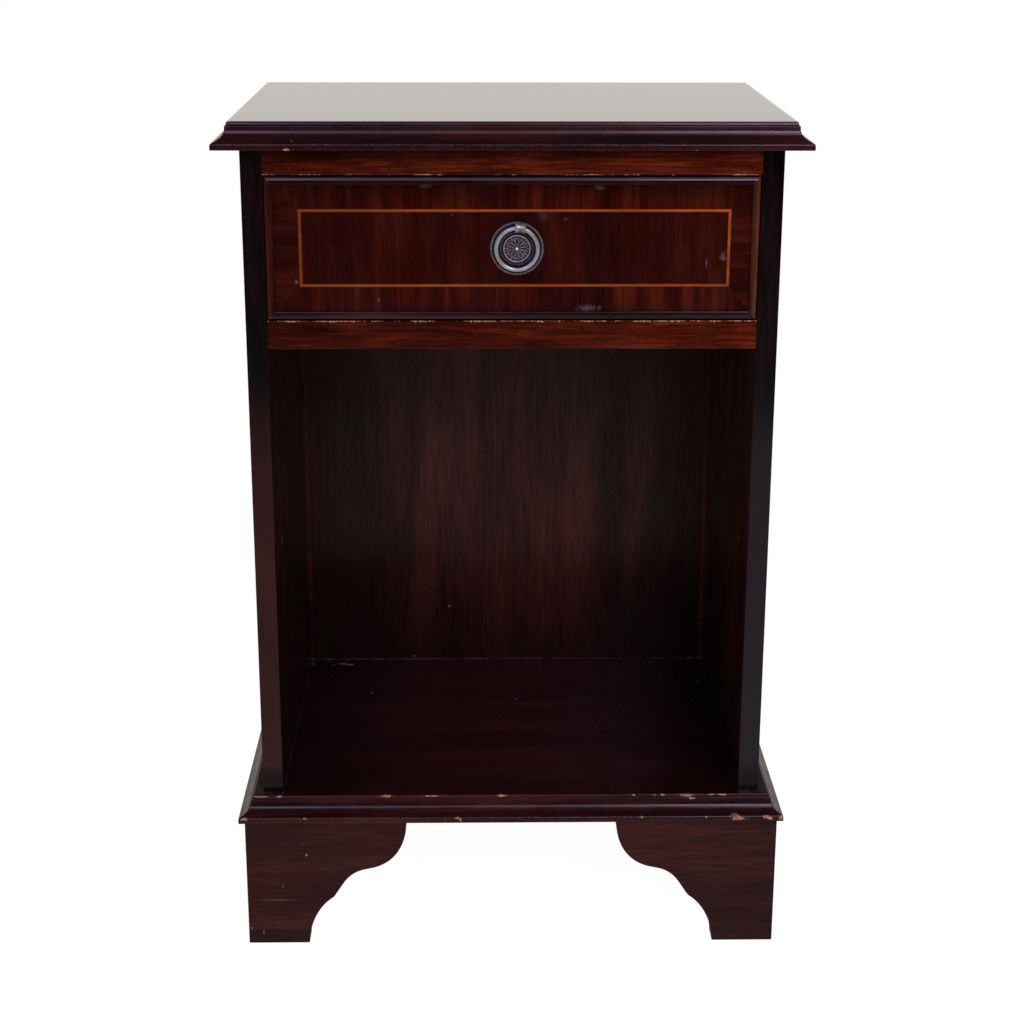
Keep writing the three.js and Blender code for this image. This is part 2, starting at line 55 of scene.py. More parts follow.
# Places in the row frame that the pieces below share
SIDE_LOW, SIDE_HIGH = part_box("side_panel_right")
TOP_LOW, TOP_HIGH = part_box("top_board")
BASE_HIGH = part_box("base_board")[1]
FIELD_LOW, FIELD_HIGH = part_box("crossband_top")
PLATE_LOW, PLATE_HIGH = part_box("handle_backplate")
RAIL_LOW, RAIL_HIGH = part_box("upper_front_rail")
LOWER_LOW, LOWER_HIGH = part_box("lower_front_rail")
FRONT = SIDE_LOW.y
BACK = SIDE_HIGH.y
OUTER = SIDE_HIGH.x
INNER = SIDE_LOW.x
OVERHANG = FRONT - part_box("top_moulding_front")[0].y
BOARD = TOP_HIGH.z - TOP_LOW.z
FIELD_Y = FIELD_LOW.y
PANEL_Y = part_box("back_panel")[0].y
PIN_HOLES = (-81.5 * MM, 100.5 * MM)
PIN_HEIGHT = 326 * MM

# The ring pull hangs a little askew. The ring's radius and its distance from the drawer are in mm.
PULL = Vector(((PLATE_LOW.x + PLATE_HIGH.x) / 2, FIELD_Y, (PLATE_LOW.z + PLATE_HIGH.z) / 2))
PULL_TILT = math.radians(9.5)
RING_RADIUS = 15.5
RING_OUT = 3.25

# A colour Mix node's sockets, which share their names with its sockets for other kinds of data
MIX_FIRST, MIX_SECOND, MIX_RESULT = 6, 7, 2


# ---- Camera, light and stage ----


def add_camera():
    """The photo's camera: a little left of the middle, looking down at the front."""
    pitch, yaw, roll = (math.radians(a) for a in (17.575, 1.01, -0.15))
    forward = Vector(
        (math.sin(yaw) * math.cos(pitch), math.cos(yaw) * math.cos(pitch), -math.sin(pitch))
    )
    level = Vector((math.cos(yaw), -math.sin(yaw), 0))
    right = level * math.cos(roll) - level.cross(forward) * math.sin(roll)
    up = right.cross(forward)
    data = bpy.data.cameras.new("camera")
    data.lens = 69.8
    data.sensor_width = 36
    camera = bpy.data.objects.new("camera", data)
    camera.matrix_world = Matrix((right, up, -forward)).transposed().to_4x4()
    camera.location = (-0.02572, -1.59983, 0.8298)
    bpy.context.scene.collection.objects.link(camera)
    bpy.context.scene.camera = camera


def add_world():
    """A dark studio with a pale backdrop low behind the cabinet, which the top reflects.

    The floor hides the lower half from everything but reflections. What they see there stands
    for a floor that is pale near the cabinet and fades with distance. The camera itself sees
    white beyond the floor's edge.
    """
    world = bpy.data.worlds.new("studio")
    world.use_nodes = True
    sky = Graph(world.node_tree, "Generated")
    _, y, z = sky.axes()
    # Colours by the degrees above the horizon
    near_floor = [
        (-90, (0.26, 0.24, 0.24)),
        (-30, (0.25, 0.23, 0.23)),
        (-20, (0.17, 0.16, 0.16)),
        (-15, (0.12, 0.11, 0.11)),
        (-11, (0.04, 0.04, 0.04)),
    ]
    backdrop = [(-7, (0.01, 0.01, 0.01)), (-1, (0.66, 0.63, 0.60)), (12, (0.68, 0.645, 0.615))]
    room = [(24, (0.05, 0.05, 0.05)), (90, (0.05, 0.05, 0.06))]
    dark = [(-7, (0.01, 0.01, 0.01)), (25, (0.02, 0.02, 0.02)), (90, (0.05, 0.05, 0.06))]

    def by_height(stops):
        heights = [((math.sin(math.radians(angle)) + 1) / 2, colour) for angle, colour in stops]
        return sky.ramp(z * 0.5 + 0.5, heights)

    behind = sky.between(y, -0.1, 0.5)
    colour = sky.mix(behind, by_height(near_floor + dark), by_height(near_floor + backdrop + room))
    to_camera = sky.node("ShaderNodeLightPath", {}).outputs["Is Camera Ray"]
    colour = sky.mix(to_camera, colour, (1.0, 1.0, 1.0))
    sky.feed(world.node_tree.nodes["Background"].inputs["Color"], colour)
    bpy.context.scene.world = world


def add_softbox(name, location, target, width, height, radiance, colour):
    """An area light. Its power follows from the radiance that it shows in reflections."""
    data = bpy.data.lights.new(name, "AREA")
    data.shape = "RECTANGLE"
    data.size = width
    data.size_y = height
    data.energy = radiance * math.pi * width * height
    data.color = colour
    light = bpy.data.objects.new(name, data)
    light.location = location
    aim = Vector(target) - Vector(location)
    light.rotation_mode = "QUATERNION"
    light.rotation_quaternion = aim.to_track_quat("-Z", "Y")
    bpy.context.scene.collection.objects.link(light)


def add_lights():
    """Soft lights in front of the cabinet and above it. Each shows in its own part of the polish."""
    add_softbox("key", (0.95, -1.45, 2.1), (0, 0, 0.4), 0.9, 0.9, 3.4, (0.84, 0.78, 1.0))
    add_softbox("front", (-0.1, -2.3, 1.9), (0, 0, 0.35), 2.4, 1.2, 1.0, (0.84, 0.72, 1.0))
    add_softbox("window", (0.70, -2.25, 1.7), (0, 0, 0.6), 0.8, 0.7, 6.5, (0.66, 0.66, 1.0))
    add_softbox("left", (-0.72, -2.25, 1.8), (0, 0, 0.6), 0.7, 0.7, 3.2, (0.60, 0.63, 1.0))


def add_floor():
    """A pale floor that glows a little, like a light table, so that shadows on it stay soft."""
    reach = 500
    corners = [(-reach, -reach, 0), (reach, -reach, 0), (reach, reach, 0), (-reach, reach, 0)]
    mesh = bpy.data.meshes.new("floor")
    mesh.from_pydata(corners, [], [(0, 1, 2, 3)])
    floor = bpy.data.objects.new("floor", mesh)
    glow = {"Emission_Color": (1, 1, 1, 1), "Emission_Strength": 0.97}
    paper = Look("paper", Base_Color=(0.40, 0.40, 0.40, 1), Roughness=1, Specular_IOR_Level=0, **glow)
    mesh.materials.append(paper.material)
    bpy.context.scene.collection.objects.link(floor)
    floor.visible_glossy = False


# ---- Node graphs ----


class Value:
    """A single value in a node graph. Plain arithmetic on it makes Math nodes."""

    def __init__(self, graph, socket):
        self.graph = graph
        self.socket = socket

    def __add__(self, other):
        return self.graph.math("ADD", self, other)

    def __sub__(self, other):
        return self.graph.math("SUBTRACT", self, other)

    def __mul__(self, other):
        return self.graph.math("MULTIPLY", self, other)

    def __truediv__(self, other):
        return self.graph.math("DIVIDE", self, other)

    def __abs__(self):
        return self.graph.math("ABSOLUTE", self)


class Graph:
    """A node tree, and the coordinates that its textures follow.

    Its calls take Values, sockets and plain values.
    """

    def __init__(self, tree, coordinates):
        self.tree = tree
        self.place = self.node("ShaderNodeTexCoord", {}).outputs[coordinates]

    def node(self, kind, inputs, **settings):
        node = self.tree.nodes.new(kind)
        for key, value in settings.items():
            setattr(node, key, value)
        for key, value in inputs.items():
            self.feed(node.inputs[key], value)
        return node

    def feed(self, socket, value):
        if isinstance(value, Value):
            value = value.socket
        if isinstance(value, bpy.types.NodeSocket):
            self.tree.links.new(value, socket)
        else:
            socket.default_value = value

    def mapped(self, vector, scale=(1, 1, 1), location=(0, 0, 0), rotation=(0, 0, 0)):
        inputs = {"Vector": vector, "Scale": scale, "Location": location, "Rotation": rotation}
        return self.node("ShaderNodeMapping", inputs).outputs["Vector"]

    def axes(self):
        """The x, y and z of the tree's coordinates."""
        split = self.node("ShaderNodeSeparateXYZ", {"Vector": self.place})
        return [Value(self, output) for output in split.outputs]

    def math(self, operation, first, second=0.0):
        node = self.node("ShaderNodeMath", {0: first, 1: second}, operation=operation)
        return Value(self, node.outputs["Value"])

    def hypot(self, first, second):
        return self.math("SQRT", first * first + second * second)

    def between(self, value, low, high, to_low=0.0, to_high=1.0):
        """The value, from low and high to to_low and to_high, smoothly and with both ends held."""
        inputs = {"Value": value, "From Min": low, "From Max": high, "To Min": to_low, "To Max": to_high}
        node = self.node("ShaderNodeMapRange", inputs, interpolation_type="SMOOTHSTEP")
        return Value(self, node.outputs["Result"])

    def noise(self, vector, scale, detail=2.0, roughness=0.5, distortion=0.0):
        inputs = {"Vector": vector, "Scale": scale, "Detail": detail}
        inputs |= {"Roughness": roughness, "Distortion": distortion}
        return Value(self, self.node("ShaderNodeTexNoise", inputs).outputs["Fac"])

    def drift(self, low, high, scale=30):
        """A value that wanders between low and high from place to place."""
        return self.between(self.noise(self.place, scale, 3, 0.6), 0.3, 0.7, low, high)

    def ramp(self, value, stops):
        node = self.node("ShaderNodeValToRGB", {"Fac": value})
        elements = node.color_ramp.elements
        while len(elements) < len(stops):
            elements.new(1)
        for element, (position, colour) in zip(elements, stops):
            element.position = position
            element.color = (*colour, 1)
        return node.outputs["Color"]

    def mix(self, factor, first, second):
        """A blend of two colours, each a socket or a tuple of linear light."""
        first, second = ((*c, 1) if isinstance(c, tuple) else c for c in (first, second))
        inputs = {"Factor": factor, MIX_FIRST: first, MIX_SECOND: second}
        return self.node("ShaderNodeMix", inputs, data_type="RGBA").outputs[MIX_RESULT]

    def attribute(self, name):
        return Value(self, self.node("ShaderNodeAttribute", {}, attribute_name=name).outputs["Fac"])


class Look(Graph):
    """A material's node tree, with plain values for its shader's sockets."""

    def __init__(self, name, **shader_values):
        self.material = bpy.data.materials.new(name)
        self.material.use_nodes = True
        super().__init__(self.material.node_tree, "Object")
        self.shader = self.tree.nodes["Principled BSDF"]
        for key, value in shader_values.items():
            self.shader.inputs[key.replace("_", " ")].default_value = value

    def finish(self, colour, roughness, height, strength, distance=0.1 * MM):
        self.feed(self.shader.inputs["Base Color"], colour)
        self.feed(self.shader.inputs["Roughness"], roughness)
        inputs = {"Height": height, "Strength": strength, "Distance": distance}
        self.feed(self.shader.inputs["Normal"], self.node("ShaderNodeBump", inputs).outputs["Normal"])
        return self.material


# ---- Wood ----


def along(axis, share):
    """Scales that stretch a texture along one axis, to a share of its scale across."""
    return tuple(share if name == axis else 1.0 for name in "xyz")


@dataclass
class Wood:
    """How one piece of wood looks."""

    tones: tuple  # its colours, from dark to light
    grain: str  # the axis that the grain runs along
    figure: float = 45  # broad stripes per metre across the grain
    fibre: float = 420  # fine streaks per metre across the grain
    stripes: float = 1.0  # how strongly the broad stripes show
    streaks: float = 0.6  # how strongly the fine streaks show
    pores: float = 0.5  # how dark the short open pores are
    lean: float = 0.0  # radians that the grain leans in the plane of the front
    short: float = 1.0  # how much shorter than usual the stripes and the pores are
    seed: float = 0.0

    def build(self, graph):
        """Returns the wood's colour and the height of its grain."""
        shift = (self.seed, self.seed * 2.3, self.seed * 1.7)
        place = graph.mapped(graph.place, location=shift, rotation=(0, self.lean, 0))

        def stretched(share, *settings):
            return graph.noise(graph.mapped(place, along(self.grain, share)), *settings)

        broad = stretched(0.12 * self.short, self.figure, 2, 0.5, 0.3)
        fine = stretched(0.06, self.fibre, 2, 0.6)
        mottle = stretched(0.5, 9, 2)
        open_pore = graph.between(stretched(0.10 * self.short, 900, 1), 0.56, 0.70)
        figured = (broad - 0.5) * (1.9 * self.stripes) + (fine - 0.5) * (1.6 * self.streaks)
        tone = figured + (mottle - 0.5) * 0.6 + 0.5
        dark, middle, light = self.tones
        colour = graph.ramp(tone, [(0.10, dark), (0.5, middle), (0.90, light)])
        colour = graph.mix(open_pore * self.pores, colour, shaded(dark, 0.25))
        return colour, fine * 0.4 - open_pore


def shaded(colour, share):
    return tuple(share * c for c in colour)


def scuffed(graph, colour, amount):
    """Adds a few specks of dust and very faint clouds to a lacquered surface."""
    specks = graph.between(graph.noise(graph.place, 420, 1), 0.785, 0.82)
    rare = graph.between(graph.noise(graph.place, 60, 1), 0.60, 0.64)
    clouds = graph.between(graph.noise(graph.place, 16, 3, 0.6), 0.55, 0.80)
    return graph.mix((specks * rare + clouds * 0.015) * amount, colour, SCUFF)


def worn_line(graph, colour, y, z, reach, cover, seed):
    """Bare wood along the arris at y and z, worn back by up to reach over a share of its run."""
    bare_wood = (0.72, 0.46, 0.27)
    _, at_y, at_z = graph.axes()
    away = graph.math("MAXIMUM", abs(at_y - y), abs(at_z - z))
    run = graph.noise(graph.mapped(graph.place, (1, 0, 0), (seed, 0, 0)), 24, 5, 0.75)
    fine = graph.noise(graph.place, 700, 2)
    edge = 0.62 - 0.24 * cover
    depth = graph.between(run, edge - 0.03, edge + 0.10) * graph.between(fine, 0.3, 0.7, 0.1, 1.3) * reach
    wear_and_light = graph.between(depth - away, 0.0, 0.15 * MM)
    tint = graph.mix(graph.noise(graph.place, 240, 2), bare_wood, shaded(bare_wood, 0.35))
    return graph.mix(wear_and_light, colour, tint)


def marks(graph, colour, spots, tint=(0.13, 0.09, 0.10), plane="xz"):
    """Smudges and specks. A spot is its place in the plane, half width, half height and strength."""
    level, upward = (graph.axes()["xyz".index(axis)] for axis in plane)
    ragged = (graph.noise(graph.place, 420, 3) - 0.5) * 2.6
    cover = 0.0
    for at_level, at_upward, half_width, half_height, strength in spots:
        across = (level - at_level * MM) / (half_width * MM)
        upwards = (upward - at_upward * MM) / (half_height * MM)
        spot = graph.between(graph.hypot(across, upwards) + ragged, 0.2, 1.5, strength, 0.0)
        cover = graph.math("MAXIMUM", cover, spot)
    return graph.mix(cover, colour, tint)


def shaded_towards(graph, colour, axis, start, end, amount):
    """Paints shade on the wood: darker from start to end along an axis, in cloudy patches."""
    at = graph.axes()["xyz".index(axis)]
    cloud = graph.noise(graph.place, 25, 2)
    depth = graph.between(at, start, end) * graph.between(cloud, 0.2, 0.8, 0.7, 1.2) * amount
    return graph.mix(depth, colour, SHADE_TONE)


def lacquered(name, wood, coat=0.15, roughness=0.2, scuffs=0.5, specular=0.4, lines=(), spots=(), shades=()):
    """Polished wood, with painted shade along the axes given, its dust, its worn arrises and its smudges.
    """
    graph = Look(name, Coat_Weight=coat, Coat_Roughness=0.06, Specular_IOR_Level=specular)
    colour, height = wood.build(graph)
    # Painted shade, darkening the wood along each axis given
    for soil_and_shade in shades:
        colour = shaded_towards(graph, colour, *soil_and_shade)
    colour = scuffed(graph, colour, scuffs)
    for line in lines:
        colour = worn_line(graph, colour, *line)
    if spots:
        colour = marks(graph, colour, spots)
    return graph.finish(colour, graph.drift(roughness - 0.04, roughness + 0.06), height, 0.06)


def bare(name, wood, roughness=0.62):
    """Raw wood, as it is inside the drawer and under the cabinet."""
    graph = Look(name, Specular_IOR_Level=0.35)
    colour, height = wood.build(graph)
    soil_and_shade = graph.between(graph.noise(graph.place, 7, 3), 0.45, 0.75)
    colour = graph.mix(soil_and_shade * 0.35, colour, shaded(wood.tones[0], 0.4))
    rough = graph.between(height, -0.8, 0.4, roughness + 0.12, roughness - 0.05)
    return graph.finish(colour, rough, height, 0.35, 0.25 * MM)


# Tones of each wood, from dark to light, in linear light
MAHOGANY = ((0.012, 0.003, 0.002), (0.030, 0.006, 0.004), (0.055, 0.012, 0.008))
INSIDE = ((0.009, 0.002, 0.001), (0.025, 0.0055, 0.003), (0.050, 0.012, 0.007))
FOOT = ((0.018, 0.0026, 0.0016), (0.036, 0.0052, 0.0038), (0.068, 0.012, 0.008))
LIPPING = ((0.0015, 0.0005, 0.0006), (0.0045, 0.0013, 0.0016), (0.010, 0.003, 0.0035))
STAINED = ((0.014, 0.0025, 0.002), (0.034, 0.0046, 0.004), (0.062, 0.009, 0.008))
RAIL = ((0.026, 0.0022, 0.0005), (0.092, 0.0080, 0.0009), (0.195, 0.027, 0.0040))
CROSSBAND = ((0.013, 0.0007, 0.0002), (0.0355, 0.0019, 0.0004), (0.094, 0.0090, 0.0018))
CENTRE = ((0.014, 0.0008, 0.0002), (0.030, 0.0018, 0.0004), (0.058, 0.006, 0.002))
BACKING = ((0.016, 0.0030, 0.0018), (0.064, 0.011, 0.0060), (0.140, 0.026, 0.013))
FLOOR = ((0.022, 0.0026, 0.0024), (0.036, 0.0045, 0.0035), (0.056, 0.008, 0.007))
BEAD = ((0.006, 0.001, 0.001), (0.018, 0.0026, 0.0024), (0.042, 0.007, 0.006))
RED_BEAD = ((0.014, 0.0022, 0.001), (0.042, 0.007, 0.0034), (0.080, 0.016, 0.008))
# The right bead's lighter orange tones are painted light from the right.
LIT_BEAD = ((0.034, 0.008, 0.002), (0.095, 0.025, 0.007), (0.16, 0.048, 0.014))
BOXWOOD = ((0.18, 0.026, 0.001), (0.31, 0.052, 0.0025), (0.44, 0.086, 0.006))
LINING = ((0.30, 0.17, 0.08), (0.46, 0.29, 0.15), (0.62, 0.44, 0.26))
PLY = ((0.26, 0.14, 0.07), (0.38, 0.23, 0.12), (0.50, 0.33, 0.19))
SOFTWOOD = ((0.20, 0.11, 0.045), (0.30, 0.18, 0.085), (0.42, 0.28, 0.15))

# What lies on the wood, and the near-black that painted shade darkens towards
DUST = (0.45, 0.28, 0.26)
SCUFF = (0.24, 0.21, 0.21)
SHADE_TONE = (0.004, 0.001, 0.0008)

# Smudges and specks, each as its two places in a plane, half width and half height in mm, and
# strength. The plane is the front, and for the floor's specks and its splinter the floor.
DRAWER_MARKS = [
    (-161, 546, 1.3, 1.5, 0.9),
    (-64, 618, 5, 2.0, 0.25),
    (64, 616, 4, 1.6, 0.25),
    (56, 525.6, 6.5, 2.2, 0.6),
    (65, 526, 1.6, 1.6, 0.5),
    (157, 564.5, 2.2, 3.0, 0.6),
    (144.6, 559.7, 0.7, 3.5, 0.6),
    (23, 594.7, 3.4, 3.4, 0.16),
    (39.4, 592.5, 1.4, 1.3, 0.30),
    (-100, 532, 0.9, 1.2, 0.4),
    (-45, 596, 0.7, 0.7, 0.6),
]
FOOT_MARKS = [
    (-188.4, 39.6, 13, 0.45, 0.30),
    (-168.6, 89.5, 0.8, 0.7, 0.8),
    (-165.5, 79.9, 0.8, 1.2, 1.0),
    (-185.6, 51.6, 0.8, 0.7, 0.5),
    (-202.5, 10.2, 0.7, 2.4, 0.45),
    (-212.0, 14.0, 0.8, 1.6, 0.35),
]
FLOOR_SPECKS = [
    (-181.3, 139.3, 0.9, 1.8, 0.9),
    (-162.4, 137.1, 1.1, 1.2, 0.6),
    (-122.8, 68.5, 0.8, 1.6, 0.6),
    (7.5, 53.2, 0.8, 1.6, 0.5),
    (135.6, 141.0, 0.9, 1.6, 0.6),
    (175.9, 93.7, 0.9, 1.8, 0.7),
]
SPLINTER = [
    (-153.6, 139.5, 3.6, 1.5, 1.0),
    (-147.2, 137.2, 3.6, 1.5, 1.0),
]
BACK_SPECKS = [
    (-53.2, 182.9, 0.9, 0.9, 0.9),
    (-87.2, 133.0, 0.9, 0.9, 0.5),
]


def wood_materials():
    rail = Wood(RAIL, "x", 70, 500, stripes=0.7, streaks=0.8, pores=0.65, short=1.8, seed=4.0)
    lower_rail = Wood(RAIL, "x", 60, 500, stripes=0.6, streaks=0.7, pores=0.60, short=1.8, seed=5.0)
    centre = Wood(CENTRE, "z", 60, 450, stripes=0.6, streaks=0.5, pores=0.4, lean=0.05, seed=6.0)
    upright = Wood(CROSSBAND, "z", 75, 350, stripes=0.7, streaks=0.45, pores=0.25, seed=7.0)
    level = Wood(CROSSBAND, "x", 75, 350, stripes=0.6, streaks=0.35, pores=0.25, seed=8.0)
    line = Wood(BOXWOOD, "x", figure=30, fibre=900, pores=0.2)
    matt = {"coat": 0.0, "specular": 0.15}
    veneer = {"coat": 0.1, "specular": 0.2, "scuffs": 0.4, "spots": DRAWER_MARKS}
    # Painted shade: the drawer front darkens towards its top, the upper rail towards its top under the
    # moulding, and the crossbands, stringing and rails towards the left, away from the light.
    shade = ("z", FIELD_LOW.z, FIELD_HIGH.z + 12 * MM, 0.42)
    band_shade = ("z", FIELD_LOW.z, FIELD_HIGH.z + 6 * MM, 0.84)
    shade_to_left = ("x", FIELD_HIGH.x, FIELD_LOW.x, 0.10)
    shade_at_left = ("x", 0, FIELD_LOW.x, 0.35)
    line_shade_left = ("x", 0.10, FIELD_LOW.x, 0.35)
    rail_shade = ("z", RAIL_LOW.z + 7 * MM, RAIL_HIGH.z + 2 * MM, 0.9)
    rail_shade_left = ("x", INNER, -INNER, 0.45)
    upper_line = (FRONT, RAIL_LOW.z, 0.75 * MM, 0.50, 0.3)
    lower_line = (FRONT, LOWER_HIGH.z, 1.1 * MM, 0.65, 1.7)
    return {
        "top": top_veneer(),
        "side": side_veneer(),
        "lipping": lipping_material(),
        "base": base_veneer(),
        "upper_rail": lacquered(
            "upper_rail_wood", rail, shades=[rail_shade, rail_shade_left], lines=[upper_line], **matt
        ),
        "lower_rail": lacquered(
            "lower_rail_wood", lower_rail, shades=[rail_shade_left], lines=[lower_line], **matt
        ),
        "centre": lacquered("centre_veneer_wood", centre, shades=[shade], **veneer),
        "crossband_upright": lacquered(
            "crossband_upright_wood", upright, shades=[band_shade, shade_to_left], **veneer
        ),
        "crossband_level": lacquered(
            "crossband_level_wood", level, shades=[shade, shade_at_left], **veneer
        ),
        "boxwood": lacquered("boxwood_line", line, scuffs=0.1, shades=[line_shade_left]),
        "front_core": lacquered("drawer_front_wood", Wood(MAHOGANY, "x", seed=9.0)),
        "back": back_material(),
        "lining_y": bare("drawer_side_wood", Wood(LINING, "y", figure=60, pores=0.3, seed=11.0)),
        "lining_x": bare("drawer_back_wood", Wood(LINING, "x", figure=60, pores=0.3, seed=12.0)),
        "ply": bare("ply_wood", Wood(PLY, "x", figure=30, pores=0.2, seed=13.0)),
        "stained_x": lacquered(
            "stained_bracket", Wood(FOOT, "x", figure=60, seed=17.0), coat=0.0, roughness=0.4
        ),
        "softwood_x": bare("softwood_across", Wood(SOFTWOOD, "x", 120, pores=0.1, seed=14.0), 0.7),
        "softwood_y": bare("softwood_deep", Wood(SOFTWOOD, "y", 120, pores=0.1, seed=15.0), 0.7),
        "softwood_z": bare("softwood_upright", Wood(SOFTWOOD, "z", 120, pores=0.1, seed=16.0), 0.7),
    }


def side_veneer():
    """The sides' veneer, the left side darker as painted shade, with pale lips round the shelf pins' holes:
    torn wood, lightened as a painted highlight where the lips catch the light.
    """
    graph = Look("side_veneer", Coat_Roughness=0.06, Specular_IOR_Level=0.25)
    colour, height = Wood(INSIDE, "z", figure=38, seed=2.0).build(graph)
    # Painted shade: the left side is darker, away from the light.
    colour = shaded_towards(graph, colour, "x", 0, -INNER, 0.35)
    colour = scuffed(graph, colour, 0.3)
    x, y, z = graph.axes()
    ragged = (graph.noise(graph.place, 900, 2) - 0.5) * (0.8 * MM)
    inside = graph.between(abs(x), INNER + 2 * MM, INNER + 1 * MM)
    # Pale lips round the pin holes: torn wood, and a painted highlight where a lip catches the light.
    for depth in PIN_HOLES:
        away = graph.hypot(y - depth, z - PIN_HEIGHT)
        lip = graph.between(away + ragged, 3.3 * MM, 2.9 * MM)
        colour = graph.mix(lip * inside * 0.45, colour, (0.16, 0.08, 0.06))
    return graph.finish(colour, graph.drift(0.16, 0.26), height, 0.06)


def top_veneer():
    """The polished top: an even gloss over dark figured veneer."""
    graph = Look("top_veneer", Coat_Weight=1.0, Coat_Roughness=0.05, Specular_IOR_Level=0.5)
    colour, height = Wood(MAHOGANY, "x", figure=30, stripes=1.3, seed=1.0).build(graph)
    colour = scuffed(graph, colour, 0.25)
    rough = graph.between(graph.noise(graph.place, 60, 2), 0.3, 0.7, 0.10, 0.13)
    return graph.finish(colour, rough, height, 0.012, 0.05 * MM)


def fluff(graph):
    """How thickly dust lies where it gathers."""
    return graph.between(graph.noise(graph.place, 150, 3, 0.7), 0.35, 0.65, 0.1, 1.0)


def base_veneer():
    """The compartment's floor, darker towards its sides as painted shade, dusty along its back and its
    sides, with a splinter left lying.
    """
    graph = Look("base_veneer", Specular_IOR_Level=0.12)
    wood = Wood(FLOOR, "x", 40, 350, stripes=0.8, streaks=0.4, pores=0.3, seed=3.0)
    colour, height = wood.build(graph)
    x, y, _ = graph.axes()
    off = abs(x)
    # Painted shade: darker towards the compartment's sides.
    colour = graph.mix(graph.between(off, 0.06, INNER, 0.0, 0.75), colour, (0.006, 0.001, 0.001))
    inside = graph.between(y, PANEL_Y + 0.6 * MM, PANEL_Y + 0.2 * MM)
    at_back = graph.between(y, PANEL_Y - 1.6 * MM, PANEL_Y - 0.4 * MM, 0.0, 0.30)
    corner = graph.between(off, INNER - 12 * MM, INNER, 0.0, 0.35)
    at_corner = corner * graph.between(y, PANEL_Y - 6 * MM, PANEL_Y)
    at_side = graph.between(off, INNER - 1.2 * MM, INNER - 0.3 * MM, 0.0, 0.10)
    dust = graph.math("MAXIMUM", graph.math("MAXIMUM", at_back, at_corner), at_side)
    colour = graph.mix(dust * inside * fluff(graph), colour, DUST)
    colour = marks(graph, colour, FLOOR_SPECKS, (0.45, 0.40, 0.38), "xy")
    colour = marks(graph, colour, SPLINTER, (0.50, 0.30, 0.20), "xy")
    return graph.finish(colour, graph.drift(0.2, 0.3), height, 0.06)


def lipping_material():
    """The sides' front edges: dark stain, lighter lower down as painted light from the floor: red in
    patches on the left one, and a painted grey reflection on the right one.
    """
    graph = Look("side_lipping", Coat_Weight=0.1, Coat_Roughness=0.06, Specular_IOR_Level=0.5)
    colour, height = Wood(LIPPING, "z", figure=80, pores=0.3, seed=2.6).build(graph)
    x, _, z = graph.axes()
    patches = graph.noise(graph.mapped(graph.place, (1, 1, 0.5)), 22, 2)
    # Painted light: lower down, the left edge turns lighter red in patches and the right edge takes a
    # painted grey reflection.
    low = graph.between(z, 0.47, 0.40) * graph.between(z, 0.142, 0.155, 0.1, 1.0)
    cover = low * graph.between(patches, 0.30, 0.60, 0.55, 1.0)
    colour = graph.mix(cover * graph.between(x, 0.1, -0.1), colour, (0.038, 0.0070, 0.005))
    colour = graph.mix(low * graph.between(x, -0.1, 0.1), colour, (0.014, 0.010, 0.012))
    colour = scuffed(graph, colour, 0.4)
    rough = graph.between(z, 0.38, 0.52, 0.20, 0.13) + graph.drift(-0.03, 0.04)
    return graph.finish(colour, rough, height, 0.06)


def back_material():
    """Thin veneered ply, with painted shade darkening it towards its sides, its top and its foot, and bare
    red wood in its corners.
    """
    graph = Look("back_ply_wood", Coat_Weight=0.1, Coat_Roughness=0.1, Specular_IOR_Level=0.45)
    wood = Wood(BACKING, "z", 32, 420, stripes=0.6, streaks=0.6, pores=0.25, seed=10.0)
    colour, height = wood.build(graph)
    x, y, z = graph.axes()
    seen = graph.between(y, PANEL_Y + 1.0 * MM, PANEL_Y + 0.5 * MM)
    off = abs(x)
    # Painted shade: darker towards the sides, under the lower rail and towards the floor.
    aside = graph.between(off, 0.05, INNER, 0.0, 0.6)
    high = graph.between(z, 0.34, LOWER_LOW.z, 0.0, 0.62)
    low = graph.between(z, 0.27, BASE_HIGH.z, 0.0, 0.62)
    cloud = (graph.noise(graph.place, 11, 3) - 0.5) * 0.4
    painted_shade = graph.math("MINIMUM", aside + high + low + cloud, 0.85)
    colour = graph.mix(graph.math("MAXIMUM", painted_shade, 0.0), colour, (0.009, 0.0022, 0.0014))
    patches = graph.noise(graph.mapped(graph.place, (1, 1, 0.3)), 50, 3, 0.7)
    rubbed_or_lit = graph.between(patches, 0.30, 0.60) * graph.between(z, 0.46, 0.28)
    corner = graph.between(off, INNER - 3.5 * MM, INNER - 1.5 * MM) * rubbed_or_lit
    colour = graph.mix(corner * seen * 0.7, colour, (0.105, 0.020, 0.008))
    heap = graph.between(off, INNER - 14 * MM, INNER, 0.25, 0.7)
    at_floor = graph.between(z, BASE_HIGH.z + 1.8 * MM, BASE_HIGH.z + 0.5 * MM)
    colour = graph.mix(at_floor * fluff(graph) * heap * seen, colour, DUST)
    colour = marks(graph, colour, BACK_SPECKS, (0.50, 0.46, 0.44))
    return graph.finish(colour, graph.drift(0.20, 0.28), height, 0.08)


